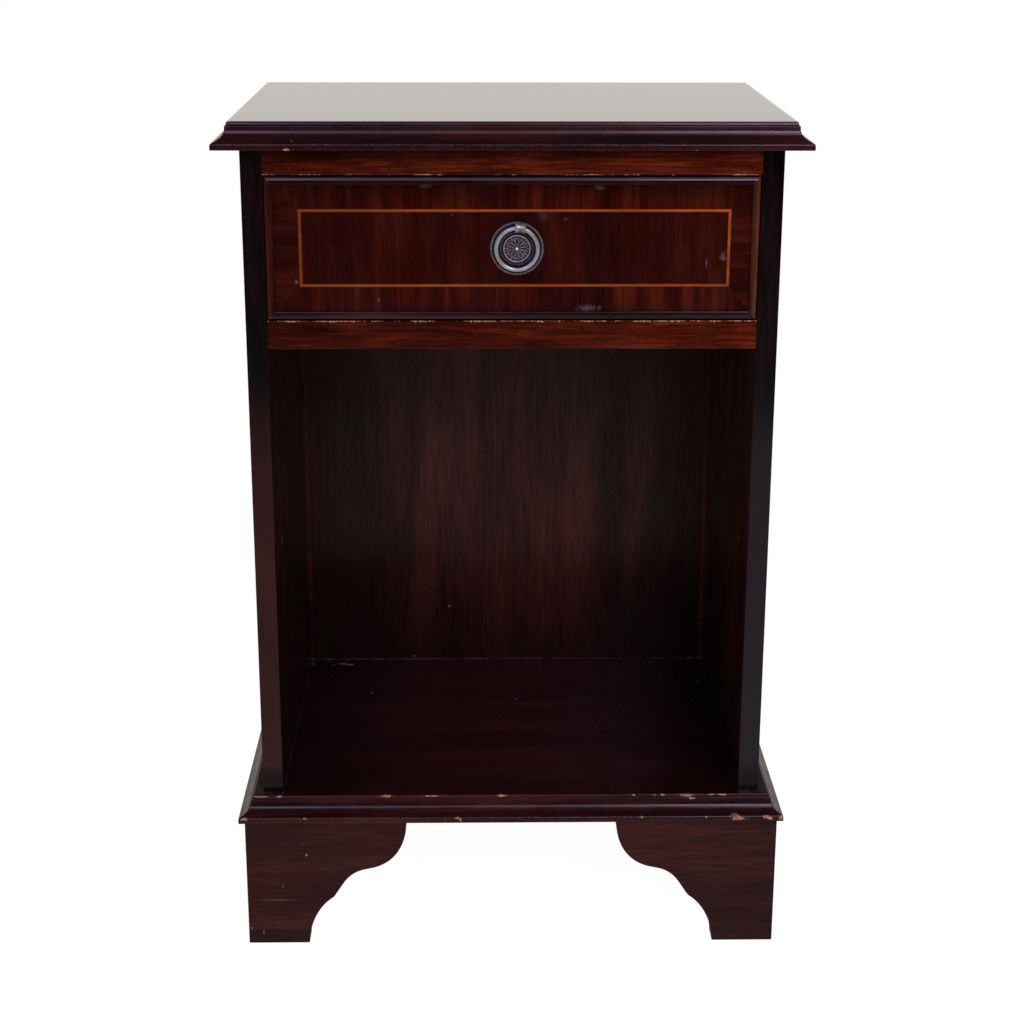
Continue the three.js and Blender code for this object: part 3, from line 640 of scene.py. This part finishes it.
def wear_and_sheen_material(name, wood, coat=0.2, roughness=0.22, specular=0.35, shades=()):
    """Lacquered wood on a rebuilt piece, rubbed through where its wear attribute is high. The paler rubbed
    tint also paints highlight lines along arrises and the bead.
    """
    graph = Look(name, Coat_Weight=coat, Coat_Roughness=0.10, Specular_IOR_Level=specular)
    colour, height = wood.build(graph)
    for soil_and_shade in shades:
        colour = shaded_towards(graph, colour, *soil_and_shade)
    colour = scuffed(graph, colour, 0.5)
    place = graph.place
    ragged = graph.noise(place, 1100, 2, 0.6) + graph.noise(place, 420, 3, 0.6) - 1.0
    # The attribute carries real wear and painted highlights: the rubbed tint paints both.
    wear_and_sheen = graph.attribute("wear_and_light") + ragged * 0.7
    rubbed_or_lit = graph.between(wear_and_sheen, 0.25, 0.60)
    through = graph.between(wear_and_sheen, 0.60, 0.70)
    colour = graph.mix(rubbed_or_lit * 0.55, colour, (0.15, 0.060, 0.064))
    fresh = graph.between(graph.noise(place, 500, 2), 0.35, 0.65)
    tint = graph.mix(fresh, (0.66, 0.30, 0.12), (0.30, 0.11, 0.045))
    colour = graph.mix(through, colour, tint)
    rough = graph.drift(roughness - 0.05, roughness + 0.08, 60) + through * 0.35
    return graph.finish(colour, rough, height * 0.3 + graph.noise(place, 420, 2) * 0.8, 0.08, 0.2 * MM)


def foot_material(name, grain, seed, spots=()):
    """The feet: fine level grain, and a darker, scratched strip along their bottom edge."""
    graph = Look(name, Coat_Weight=0.1, Coat_Roughness=0.1, Specular_IOR_Level=0.3)
    wood = Wood(FOOT, grain, 42, 420, stripes=0.6, streaks=0.7, pores=0.45, seed=seed)
    colour, height = wood.build(graph)
    _, _, z = graph.axes()
    wave = graph.noise(graph.place, 14, 2) * (3 * MM)
    strip = graph.between(z - wave, 12.2 * MM, 11.2 * MM)
    colour = graph.mix(strip * 0.45, colour, (0.018, 0.004, 0.004))
    scratches = graph.noise(graph.mapped(graph.place, (1, 1, 0.6)), 240, 3, 0.7)
    scrape = graph.between(scratches, 0.62, 0.72)
    colour = graph.mix(scrape * strip * 0.35, colour, (0.20, 0.07, 0.05))
    colour = scuffed(graph, colour, 1.0)
    if spots:
        colour = marks(graph, colour, spots, (0.30, 0.20, 0.19))
    return graph.finish(colour, graph.drift(0.2, 0.32), height, 0.08)


def moulding_looks():
    """The top's and the base's mouldings: one stain, and the top's left end in shade."""
    stained = Wood(STAINED, "x", figure=60, pores=0.3, seed=20.0)
    left_shade = ("x", 0.02, -OUTER, 0.5)
    top = wear_and_sheen_material("top_moulding_wood", stained, specular=0.3, shades=[left_shade])
    base = wear_and_sheen_material("base_moulding_wood", stained)
    return top, base


def bead_looks():
    """The bead's wood on each edge, one wood toned by how the light falls on it: dark on top and below,
    redder on the left, lighter orange on the right, towards the light.
    """
    dark_wood = Wood(BEAD, "x", figure=60, pores=0.2, seed=21.0)
    red_wood = Wood(RED_BEAD, "z", figure=60, pores=0.2, seed=25.0)
    lit_bead_wood = Wood(LIT_BEAD, "z", figure=60, pores=0.2, seed=24.0)
    # Painted shade: the side beads darken towards their inner edges.
    shade_at_left = ("x", FIELD_LOW.x - 5 * MM, FIELD_LOW.x, 0.6)
    shade_at_right = ("x", FIELD_HIGH.x + 5 * MM, FIELD_HIGH.x, 0.7)
    dark = wear_and_sheen_material("cock_bead_wood", dark_wood, coat=0.5)
    red = wear_and_sheen_material("cock_bead_red", red_wood, coat=0.1, specular=0.2, shades=[shade_at_left])
    lit_bead = wear_and_sheen_material("cock_bead_lit", lit_bead_wood, coat=0.1, specular=0.25, shades=[shade_at_right])
    return {"top": dark, "bottom": dark, "left": red, "right": lit_bead}


def pewter(name, light, dark, roughness, metallic):
    """Antiqued brass: polished grey on the high places and nearly black in its recesses. The attribute that
    it reads also paints shade and highlights on the ring, the clip and the bolt.
    """
    graph = Look(name, Metallic=metallic, Specular_IOR_Level=0.6, Coat_Weight=0.3, Coat_Roughness=0.15)
    place = graph.place
    depth_and_shading = graph.attribute("wear_and_light") + (graph.noise(place, 180, 3, 0.6) - 0.5) * 0.4
    tarnish = graph.between(depth_and_shading, 0.15, 0.85)
    tan = (light[0] * 0.95, light[1] * 0.80, light[2] * 0.62)
    warm = graph.mix(graph.between(graph.noise(place, 90, 2), 0.4, 0.62), light, tan)
    colour = graph.mix(tarnish, warm, dark)
    rough = graph.between(tarnish, 0, 1, roughness, roughness + 0.25) + graph.noise(place, 900, 2) * 0.1
    return graph.finish(colour, rough, graph.noise(place, 1400, 2), 0.08, 0.05 * MM)


def zinc_steel():
    graph = Look("zinc_steel", Metallic=1.0)
    spangle = graph.noise(graph.place, 700, 2)
    colour = graph.mix(spangle, (0.55, 0.55, 0.56), (0.40, 0.39, 0.37))
    return graph.finish(colour, graph.between(spangle, 0.3, 0.7, 0.3, 0.45), spangle, 0.1, 0.05 * MM)


def dress(name, material, soften=0.0, front=None):
    """Gives a CAD node its material and rounds its arrises by a few tenths of a millimetre.

    front is a second material, for the faces that look forwards.
    """
    node = NODES[name]
    mesh = node.data
    mesh.materials.clear()
    mesh.materials.append(material)
    if front:
        mesh.materials.append(front)
        for face in mesh.polygons:
            face.material_index = 1 if face.normal.y < -0.9 and face.center.y < FRONT + MM else 0
    if not soften:
        return
    custom = mesh.attributes.get("custom_normal")
    if custom:
        mesh.attributes.remove(custom)
    mesh.polygons.foreach_set("use_smooth", [True] * len(mesh.polygons))
    weld = node.modifiers.new("weld", "WELD")
    weld.merge_threshold = 0.01 * MM
    round_arrises(node, soften, segments=2, least_turn=35)
    node.modifiers["arrises"].harden_normals = True


def round_arrises(piece, width, segments, least_turn):
    """Bevels the edges that turn by more than least_turn degrees."""
    bevel = piece.modifiers.new("arrises", "BEVEL")
    bevel.width = width
    bevel.segments = segments
    bevel.limit_method = "ANGLE"
    bevel.angle_limit = math.radians(least_turn)


def dress_boards(wood):
    """Dresses the boards that keep their CAD shape. Each entry is a look, a rounding and nodes."""
    sheet, board = 0.2 * MM, 0.5 * MM
    sides = ("left", "right")
    plan = [
        ("top", 0, ["top_board"]),
        ("base", 0, ["base_board"]),
        ("side", board, [f"side_panel_{side}" for side in sides]),
        ("back", sheet, ["back_panel"]),
        ("upper_rail", board, ["upper_front_rail"]),
        ("lower_rail", board, ["lower_front_rail"]),
        ("front_core", sheet, ["drawer_front"]),
        ("centre", 0, ["centre_veneer"]),
        ("crossband_upright", 0, ["crossband_top", "crossband_bottom"]),
        ("crossband_level", 0, [f"crossband_{side}" for side in sides]),
        ("boxwood", 0, [f"stringing_{edge}" for edge in ("top", "bottom", *sides)]),
        ("lining_y", board, [f"drawer_side_{side}" for side in sides]),
        ("lining_x", board, ["drawer_back"]),
        ("ply", sheet, ["drawer_bottom", "dust_board"]),
        ("softwood_x", board, ["upper_back_rail", "lower_back_rail"]),
        ("softwood_x", board, [f"drawer_stop_{side}" for side in sides]),
        ("softwood_y", board, [f"drawer_{part}_{side}" for part in ("runner", "kicker") for side in sides]),
        ("softwood_z", board, [f"foot_{end}_{side}_block" for end in ("front", "rear") for side in sides]),
        ("stained_x", board, [f"foot_rear_{side}_back_bracket" for side in sides]),
    ]
    for look, soften, names in plan:
        for name in names:
            dress(name, wood[look], soften, wood["lipping"] if look == "side" else None)


# ---- Mesh helpers ----


def new_piece(node, shape, material, body, sharp=35):
    """A closed mesh that rides on a body and stands for a CAD node.

    shape is its vertices, its faces and how worn or how deep in its pattern each vertex is; these values
    also carry painted highlights and painted shade.
    """
    vertices, faces, wear_and_light = shape
    mesh = bpy.data.meshes.new(node + "_worked")
    mesh.from_pydata(vertices, [], faces)
    build = bmesh.new()
    build.from_mesh(mesh)
    bmesh.ops.recalc_face_normals(build, faces=build.faces)
    build.to_mesh(mesh)
    build.free()
    mesh.attributes.new("wear_and_light", "FLOAT", "POINT").data.foreach_set("value", wear_and_light)
    mesh.polygons.foreach_set("use_smooth", [True] * len(mesh.polygons))
    mesh.set_sharp_from_angle(angle=math.radians(sharp))
    mesh.materials.append(material)
    piece = bpy.data.objects.new(node + "_worked", mesh)
    bpy.context.scene.collection.objects.link(piece)
    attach(piece, body)
    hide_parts(node)
    return piece


def grid_faces(rows, columns, looped=False):
    """Four-sided faces between rows of points, each row a loop. looped joins the last to the first."""
    faces = []
    for row in range(rows if looped else rows - 1):
        here, there = row * columns, (row + 1) % rows * columns
        for j in range(columns):
            k = (j + 1) % columns
            faces.append((here + j, here + k, there + k, there + j))
    return faces


def capped_faces(rows, columns):
    """The faces between rows of points, with a cap over the first row and one over the last."""
    first, last = range(columns), range((rows - 1) * columns, rows * columns)
    return [*grid_faces(rows, columns), tuple(first), tuple(last)]


def bezier(start, *controls, steps):
    """Points along a quadratic or cubic curve, after its start."""
    points = [Vector(start), *(Vector(c) for c in controls)]
    found = []
    for i in range(1, steps + 1):
        level = points
        while len(level) > 1:
            level = [a.lerp(b, i / steps) for a, b in zip(level, level[1:])]
        found.append(tuple(level[0]))
    return found


def rounded(corner, before, after, radius, steps=3):
    """Points that round a corner between its two neighbours."""
    corner, before, after = Vector(corner), Vector(before), Vector(after)
    start = corner + (before - corner).normalized() * radius
    end = corner + (after - corner).normalized() * radius
    return [tuple(start), *bezier(start, corner, end, steps=steps)]


def sweep(profile, length, to_space, mitres, step, carve):
    """Sweeps a closed profile of (outwards, upwards) points along a straight run.

    to_space turns (run, outwards, upwards) into the row frame. At an end with mitre 1 the run
    grows with the outwards distance. carve(run, outwards, upwards) returns how far to push a
    point in along outwards and upwards, and how worn it is, which also carries painted highlights.
    """
    stations = max(2, round(length / step) + 1)
    vertices, wear_and_light = [], []
    for i in range(stations):
        share = i / (stations - 1)
        for out, up in profile:
            start = -mitres[0] * out
            end = length + mitres[1] * out
            run = start + share * (end - start)
            inwards, downwards, wear_and_sheen = carve(run, out, up)
            vertices.append(to_space(run, out - inwards, up - downwards))
            wear_and_light.append(wear_and_sheen)
    return vertices, capped_faces(stations, len(profile)), wear_and_light


# ---- Mouldings ----


def moulding_profile(crown):
    """(outwards from the carcass line, up from the board's top), all the way round.

    crown is how far in mm the top edge is rounded over, before the step and the cove below it.
    """
    low = -BOARD / MM
    lip = OVERHANG / MM
    points = [(0, 0), (3.5, 0), (7.0, 0)]
    points += bezier((7.0, 0), (7.0 + crown, -0.05), (8.0, -0.9), (8.2, -2.7), steps=8)
    points += rounded((9.0, -3.0), (8.2, -2.7), (9.1, -5.0), 0.35)
    points += bezier((9.1, -5.0), (9.5, -8.6), (10.6, -11.2), (18.0, -14.5), steps=20)
    points += rounded((lip, -15.0), (18.0, -14.5), (lip, -18), 0.95, steps=5)
    points += [(lip, -17)]
    points += rounded((lip, low), (lip, -17), (0, low), 0.5)
    points += [(9, low), (0, low)]
    return [(out * MM, up * MM) for out, up in points]


# Chips on the front mouldings: place along the front, outwards and up on the section, half
# length, reach across and depth, in millimetres
TOP_CHIPS = [
    (-164, 19, -19.0, 2.4, 0.8, 0.15),
    (-160, 15, -13.0, 0.9, 0.7, 0.15),
    (133, 19, -19.5, 0.8, 0.6, 0.15),
]
BASE_CHIPS = [
    (-203, 8.0, -0.7, 5.0, 0.83, 0.35),
    (-187, 8.0, -0.7, 2.6, 0.98, 0.4),
    (-100, 8.0, -0.7, 5.0, 1.12, 0.5),
    (-63, 8.0, -0.7, 7.0, 0.6, 0.15),
    (-8, 8.0, -0.7, 3.6, 0.98, 0.4),
    (99, 8.0, -0.7, 1.2, 0.68, 0.3),
    (116, 8.0, -0.7, 1.6, 0.68, 0.3),
    (122, 8.0, -0.7, 1.6, 0.83, 0.3),
    (142, 8.8, -1.0, 6.0, 1.5, 0.6),
    (146, 9.6, -3.4, 3.0, 1.2, 0.5),
    (162, 8.0, -0.7, 2.2, 0.6, 0.3),
    (170, 8.0, -0.7, 4.0, 0.68, 0.3),
    (-214, 18.8, -15.4, 2.6, 1.3, 0.4),
    (-166, 18.8, -15.2, 1.2, 1.2, 0.4),
    (-43, 18.8, -15.2, 2.0, 1.1, 0.4),
    (-41, 18.9, -16.6, 1.0, 1.0, 0.3),
    (105, 18.8, -15.2, 0.9, 1.0, 0.3),
    (157, 18.8, -15.2, 0.9, 0.8, 0.3),
    (180, 18.0, -14.6, 3.4, 2.2, 0.9),
    (183, 18.9, -16.4, 5.0, 1.6, 0.7),
    (206, 18.8, -15.4, 3.0, 1.4, 0.5),
    (209, 18.9, -16.6, 1.6, 1.4, 0.4),
    (217.5, 18.8, -16.0, 1.8, 2.4, 0.7),
]

# How far each moulding's top edge is rounded over, in millimetres
TOP_CROWN = 0.5
BASE_CROWN = 1.7

# Rubbed arrises of each moulding, also painted lighter as highlight lines: outwards and up on
# the section in millimetres, and how worn and lit
TOP_RUB_AND_SHEEN = [(8.9, -3.0, 0.32), (18.8, -15.0, 0.50)]
BASE_RUB_AND_SHEEN = [(7.8, -0.6, 0.30), (18.8, -15.0, 0.55)]


def carver(chips, rub_and_sheen):
    """A carve function that chips a moulding's front and rubs its arrises and its lip. The rubbed arrises
    also paint highlight lines.
    """
    rub_and_sheen_reach = 1.1
    lip_wear = 0.24

    def carve(run, out, up):
        x, level, height = (run - OUTER) / MM, out / MM, up / MM
        deepest, wear_and_sheen = 0.0, 0.0
        for at, chip_out, chip_up, half, reach, depth in chips:
            if abs(x - at) > 2 * half or abs(height - chip_up) > 2 * reach:
                continue
            ragged = 0.7 * noise.noise(Vector((x * 0.8, level * 0.8, height * 0.8)))
            lengthwise = (x - at) / half
            across = math.hypot(level - chip_out, height - chip_up) / reach
            inside = 1.15 - math.hypot(lengthwise, across) + ragged
            wear_and_sheen = max(wear_and_sheen, min(1.0, 0.45 + 0.8 * inside))
            deepest = max(deepest, depth * min(1.0, max(0.0, inside * 1.6)))
        for at_out, at_up, amount in rub_and_sheen:
            near = math.hypot(level - at_out, height - at_up)
            wear_and_sheen = max(wear_and_sheen, amount * (1 - near / rub_and_sheen_reach))
        if out > OVERHANG - 1 * MM:
            wear_and_sheen = max(wear_and_sheen, lip_wear)
        return deepest * 0.7 * MM, deepest * 0.5 * MM, wear_and_sheen

    return carve


def moulding_place(side, top):
    """The function that turns (run, outwards, upwards) on one moulding into the row frame."""

    def place(run, out, up):
        if side == "front":
            return (run - OUTER, FRONT - out, top + up)
        hand = -1 if side == "left" else 1
        return (hand * (OUTER + out), BACK - run, top + up)

    return place


def moulded_board(name, top, crown, chips, rub_and_sheen, material, veneer):
    """A board's front and side mouldings. The board's veneer runs on over their level top strips."""
    profile = moulding_profile(crown)
    depth = BACK - FRONT
    runs = {
        "front": (2 * OUTER, (1, 1), 1.0 * MM, chips),
        "left": (depth, (0, 1), 2.0 * MM, []),
        "right": (depth, (0, 1), 2.0 * MM, []),
    }
    for side, (length, mitres, step, side_chips) in runs.items():
        place = moulding_place(side, top)
        shape = sweep(profile, length, place, mitres, step, carver(side_chips, rub_and_sheen))
        piece = new_piece(f"{name}_moulding_{side}", shape, material, "cabinet")
        veneer_top(piece, top, veneer)


def veneer_top(piece, top, veneer):
    """Gives the piece's level faces at the height of the board's top the board's veneer."""
    piece.data.materials.append(veneer)
    for face in piece.data.polygons:
        if face.normal.z > 0.9 and face.center.z > top - 0.02 * MM:
            face.material_index = 1


# ---- Cock bead ----


def bead_profile(width, crest):
    """(outwards from the field, up from the bead's seat): a flat strip, then a slope to the edge."""
    edge, top = width / MM, crest / MM
    points = [(0, 0), (edge, 0), (edge, top - 2.4)]
    points += bezier((edge, top - 2.4), (edge, top - 1.4), (edge - 0.4, top - 1.15), steps=4)
    points += bezier((edge - 0.4, top - 1.15), (3.5, top - 0.03), (2.9, top), steps=8)
    points += [(2.8, top), (0.7, top), (0.6, top)]
    points += bezier((0.6, top), (0, top), (0, top - 0.8), steps=4)
    points += [(0, top / 2)]
    return [(out * MM, up * MM) for out, up in points]


def cock_bead(looks):
    """The four mitred strips of the bead round the drawer's front. looks has a material for each."""
    low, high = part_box("cock_bead_top")
    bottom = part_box("cock_bead_bottom")[0]
    width = high.z - FIELD_HIGH.z
    seat = high.y
    crest = seat - low.y
    profile = bead_profile(width, crest)
    half_width = high.x - width
    half_height = (high.z - bottom.z) / 2 - width
    middle = (high.z + bottom.z) / 2
    mitre_reach = 1.2 * MM
    mitre_wear, crown_highlight = 0.35, 0.14

    def strip(side, across, upward):
        """One strip. across and upward say which way the drawer's outside is."""
        length = 2 * (half_width if upward else half_height)

        def place(run, out, up):
            x = across * (half_width + out) + upward * (run - half_width)
            z = middle + upward * (half_height + out) - across * (run - half_height)
            return (x, seat - up, z)

        # The crown's share paints a highlight along the outer rounding; the mitres' share is wear.
        def rub_and_sheen(run, out, up):
            corner = max(0.0, 1 - min(abs(run + out), abs(length + out - run)) / mitre_reach)
            high_place = max(0.0, 2 * up / crest - 1)
            crown = min(1.0, max(0.0, out / width - 0.4) / 0.3)
            return 0, 0, (crown_highlight * crown + mitre_wear * corner) * high_place

        shape = sweep(profile, length, place, (1, 1), 2.0 * MM, rub_and_sheen)
        new_piece("cock_bead_" + side, shape, looks[side], "drawer")

    strip("top", 0, 1)
    strip("bottom", 0, -1)
    strip("right", 1, 0)
    strip("left", -1, 0)


# ---- Bracket feet ----


def ogee_outline(height):
    """The bracket's outline in mm: x in from the outer corner, y up from the floor."""
    points = [(0, 0.6), (0.6, 0), (20, 0)]
    points += rounded((49.5, 0), (20, 0), (50, 18), 1.2)
    points += bezier(points[-1], (50, 18), (58, 34), (70, 41.5), steps=12)
    points += bezier((70, 41.5), (79, 54), (81, 64), (99, 67), steps=14)
    points += bezier((99, 67), (118, 70), (129, 85), (130, 107), steps=14)
    points += [(130, height), (60, height), (0, height)]
    return points


def bracket(name, corner, inwards, outwards, mitred, material):
    """One shaped bracket. corner is its outer corner at the floor; inwards is the way it runs."""
    low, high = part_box(name)
    thickness, arris = 18 * MM, 0.6 * MM
    outline = [(x * MM, y * MM) for x, y in ogee_outline((high.z - low.z) / MM)]
    count = len(outline)
    top = outline[-1][1]
    # Each layer's depth behind the face, and how far its outline is drawn in
    layers = [(0.0, arris), (arris, 0.0), (thickness - arris, 0.0), (thickness, arris)]
    vertices = []
    for depth, inset in layers:
        for i, (x, y) in enumerate(outline):
            edge = (Vector(outline[(i + 1) % count]) - Vector(outline[i - 1])).normalized()
            shift = Vector((-edge.y, edge.x)) * inset
            run, rise = x + shift.x, y + shift.y
            if x == 0:
                run = depth if mitred else x
            if y == top:
                rise = y
            point = Vector(corner) + Vector(inwards) * run - Vector(outwards) * depth
            vertices.append((point.x, point.y, rise))
    shape = vertices, capped_faces(len(layers), count), [0.0] * len(vertices)
    new_piece(name, shape, material, "cabinet", sharp=30)


def bracket_feet(front_material, side_material):
    low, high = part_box("foot_front_right_front_bracket")
    for side, hand in (("left", -1), ("right", 1)):
        corner = (hand * high.x, low.y, 0)
        rear = (hand * high.x, BACK, 0)
        out = (hand, 0, 0)
        front_foot = f"foot_front_{side}"
        bracket(front_foot + "_front_bracket", corner, (-hand, 0, 0), (0, -1, 0), True, front_material)
        bracket(front_foot + "_side_bracket", corner, (0, 1, 0), out, True, side_material)
        bracket(f"foot_rear_{side}_side_bracket", rear, (0, -1, 0), out, False, side_material)


# ---- Ring pull ----


def pull_space(point):
    """Turns a point in mm, right, out from the drawer and up from the plate's centre, as it hangs."""
    right, out, up = point
    turned = Matrix.Rotation(PULL_TILT, 3, "Y") @ Vector((right, -out, up))
    return PULL + turned * MM


def pull_point(radius, angle, out):
    """A point round the plate's centre. Its angle is from straight up, its other measures in mm."""
    return pull_space((radius * math.sin(angle), out, radius * math.cos(angle)))


def turns(count):
    """Evenly spaced angles round a full turn."""
    return [2 * math.pi * i / count for i in range(count)]


def half_round(radius, middle, half_width):
    """Height of a half-round rib, from 1 along its middle to 0 at its edges and beyond them."""
    across = (radius - middle) / half_width
    return math.sqrt(max(0.0, 1 - across * across))


def plate_height(radius, angle):
    """Height in mm of the plate's face, and how deep it lies in its pattern, from 0 to 1."""
    rim_beads = 80
    rope_beads = 72
    if radius > 18.2:
        rim = half_round(radius, 19.1, 0.9)
        bead = (0.5 + 0.5 * math.cos(angle * rim_beads)) ** 1.3
        return 0.8 + 1.1 * rim * (0.15 + 0.85 * bead), max(0.0, 1 - 1.35 * rim * bead)
    if radius > 13.1:
        return 0.8, 1.0
    if radius > 11.4:
        rope = half_round(radius, 12.3, 0.8)
        bead = 0.5 + 0.5 * math.cos(angle * rope_beads)
        return 0.8 + 0.9 * rope * (0.5 + 0.5 * bead), 1 - 0.55 * rope * bead
    if radius > 10.45:
        return 0.85, 1.0
    if radius > 9.0:
        collar = half_round(radius, 9.75, 0.75)
        return 1.35 + 0.9 * collar, 1 - 0.7 * collar
    if radius < 2.9:
        return 1.4, 0.7
    relief = rosette(radius, angle)
    return 1.35 + 0.65 * relief, 0.95 - 0.75 * relief


def rosette(radius, angle):
    """Relief of the flower, 0 to 1: outlined petals with a rib each, and a seed between tips."""
    petals = 12
    sector = 2 * math.pi / petals
    turn = (angle + math.radians(8)) % sector
    off = min(turn, sector - turn)
    side = radius * math.sin(off)
    share = (radius - 2.6) / 5.4
    half = 1.25 * math.sin(math.pi * min(1.0, share)) ** 0.8
    outline = math.exp(-(((side - half) / 0.30) ** 2))
    rib = math.exp(-((side / 0.22) ** 2)) * min(1.0, 1.6 * share) if side < half else 0.0
    between = radius * (sector / 2 - off)
    seed = math.exp(-((radius - 7.7) ** 2 + between * between) / 0.35)
    tip = math.exp(-((radius - 8.5) ** 2 + side * side) / 0.16)
    return max(outline, 0.7 * rib, seed, 0.6 * tip)


def backplate(material):
    """The plate: a disc whose face is its pattern, closed by a flat back with the bolt's hole."""
    edges = [2.4, 2.7, 2.9]
    flower = [3.0 + 0.16 * i for i in range(38)]
    collar = [9.0, 9.2, 9.45, 9.75, 10.05, 10.3, 10.45, 10.6, 11.4]
    rope = [11.6, 11.9, 12.3, 12.7, 13.0, 13.2, 14.5, 16, 17.4, 18.1]
    rim = [18.3, 18.5, 18.8, 19.1, 19.4, 19.7, 19.9, 19.98]
    rings = edges + flower + collar + rope + rim
    back = 0.02
    angles = turns(800)
    vertices, depth_and_shading = [], []
    for radius in rings:
        for angle in angles:
            height, depth = plate_height(radius, angle)
            vertices.append(pull_point(radius, angle, height))
            depth_and_shading.append(depth)
    for radius in (rings[-1], rings[0]):
        vertices += [pull_point(radius, angle, back) for angle in angles]
        depth_and_shading += [1.0] * len(angles)
    shape = vertices, grid_faces(len(rings) + 2, len(angles), looped=True), depth_and_shading
    new_piece("handle_backplate", shape, material, "drawer", sharp=70)


def bolt(material):
    """The bolt, turned about its axis: a shank, a collar and a domed head whose top is painted near white
    as a highlight.
    """
    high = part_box("handle_bolt")[1]
    end = -(high.y - FIELD_Y) / MM
    rises = [i * math.pi / 20 for i in range(10)]
    dome = [(1.45 * math.cos(rise), 2.0 + 1.2 * math.sin(rise)) for rise in rises]
    profile = [(1.6, end), (2.0, end + 0.4), (2.0, 1.2), (2.3, 1.45), (2.3, 1.7), (1.7, 1.85)]
    profile += [*dome, (0.15, 3.2)]
    angles = turns(36)
    vertices, depth_and_shading = [], []
    for radius, height in profile:
        vertices += [pull_point(radius, angle, height) for angle in angles]
        # Painted highlight: the dome is near white at its top and tarnished outwards.
        depth_and_shading += [min(1.0, max(0.0, radius - 0.6))] * len(angles)
    shape = vertices, capped_faces(len(profile), len(angles)), depth_and_shading
    new_piece("handle_bolt", shape, material, "drawer")


def clip(material):
    """The saddle that the ring hangs in: a bent strap, waisted and hollow across its middle."""
    width, inner, outer = 8.6, 2.05, 4.0
    hollow = 0.9
    foot_out = 1.75
    rows, columns = 19, 17
    upright = Matrix.Rotation(-PULL_TILT * 0.6, 3, "Y")
    vertices, depth_and_shading = [], []
    for is_outer in (True, False):
        for i in range(rows):
            angle = math.pi * i / (rows - 1)
            for j in range(columns):
                across = 2 * j / (columns - 1) - 1
                sink = hollow * (1 - across * across) if is_outer else 0.0
                radius = (outer if is_outer else inner) - sink
                half = width / 2 * (0.90 + 0.10 * math.cos(angle) ** 2)
                out = RING_OUT + (radius - 0.5 if is_outer else radius) * math.sin(angle)
                if i in (0, rows - 1):
                    out = foot_out
                point = upright @ Vector((across * half, -out, radius * math.cos(angle)))
                vertices.append(pull_space((point.x, -point.y, point.z + RING_RADIUS)))
                # Lighter over the top and darker towards the foot: painted highlight and shade; nearly
                # black side edges: painted shade; darker in the hollow middle.
                rubbed_or_lit = 0.45 - 0.3 * math.cos(angle) - 0.2 * abs(across)
                depth_and_shading.append(rubbed_or_lit if abs(across) < 0.9 else 0.75)
    shape = vertices, strap_faces(rows, columns), depth_and_shading
    piece = new_piece("handle_clip", shape, material, "drawer", sharp=50)
    round_arrises(piece, 0.35 * MM, segments=3, least_turn=50)


def strap_faces(rows, columns):
    """The faces of a closed strap: a grid of points outside, the same inside, and its four edges."""
    size = rows * columns
    faces = []
    for i in range(rows - 1):
        for j in range(columns - 1):
            a = i * columns + j
            faces.append((a, a + 1, a + columns + 1, a + columns))
            faces.append((size + a, size + a + columns, size + a + columns + 1, size + a + 1))
        for j in (0, columns - 1):
            a, b = i * columns + j, (i + 1) * columns + j
            faces.append((a, b, size + b, size + a))
    for i in (0, rows - 1):
        for j in range(columns - 1):
            a = i * columns + j
            faces.append((a, a + 1, size + a + 1, size + a))
    return faces


def ring(material):
    tube = 1.75
    angles, section = turns(120), turns(28)
    vertices, depth_and_shading = [], []
    for angle in angles:
        for turn in section:
            radius = RING_RADIUS + tube * math.cos(turn)
            vertices.append(pull_point(radius, angle, RING_OUT + tube * math.sin(turn)))
            # Painted shade: the tube darkens from its front crest towards its flanks and its back; towards
            # the plate this is also tarnish.
            depth_and_shading.append(min(1.0, max(0.0, 1.35 - 1.5 * math.sin(turn))))
    shape = vertices, grid_faces(len(angles), len(section), looped=True), depth_and_shading
    new_piece("handle_ring", shape, material, "ring")


def hardware():
    bright = pewter("antique_brass_polished", (0.54, 0.54, 0.55), (0.03, 0.028, 0.035), 0.24, 0.55)
    wear_and_light = pewter("antique_brass_worn", (0.36, 0.32, 0.34), (0.006, 0.005, 0.012), 0.36, 0.2)
    # A near-white brass for the bolt: its head's top shows as a painted highlight.
    rubbed_or_lit = pewter("antique_brass_highlight", (0.90, 0.90, 0.92), (0.05, 0.05, 0.06), 0.2, 0.2)
    backplate(wear_and_light)
    bolt(rubbed_or_lit)
    clip(bright)
    ring(bright)
    steel = zinc_steel()
    for node in ("handle_washer", "handle_nut"):
        dress(node, steel, 0.15 * MM)


# ---- The whole cabinet ----


def main():
    bpy.context.scene.view_settings.view_transform = "Standard"
    add_camera()
    add_world()
    add_lights()
    add_floor()
    wood = wood_materials()
    dress_boards(wood)
    top_moulding, base_moulding = moulding_looks()
    bead = bead_looks()
    foot = foot_material("foot_wood", "x", 22.0, FOOT_MARKS)
    foot_side = foot_material("foot_side_wood", "y", 23.0)
    moulded_board("top", TOP_HIGH.z, TOP_CROWN, TOP_CHIPS, TOP_RUB_AND_SHEEN, top_moulding, wood["top"])
    moulded_board("base", BASE_HIGH.z, BASE_CROWN, BASE_CHIPS, BASE_RUB_AND_SHEEN, base_moulding, wood["base"])
    cock_bead(bead)
    bracket_feet(foot, foot_side)
    hardware()


main()
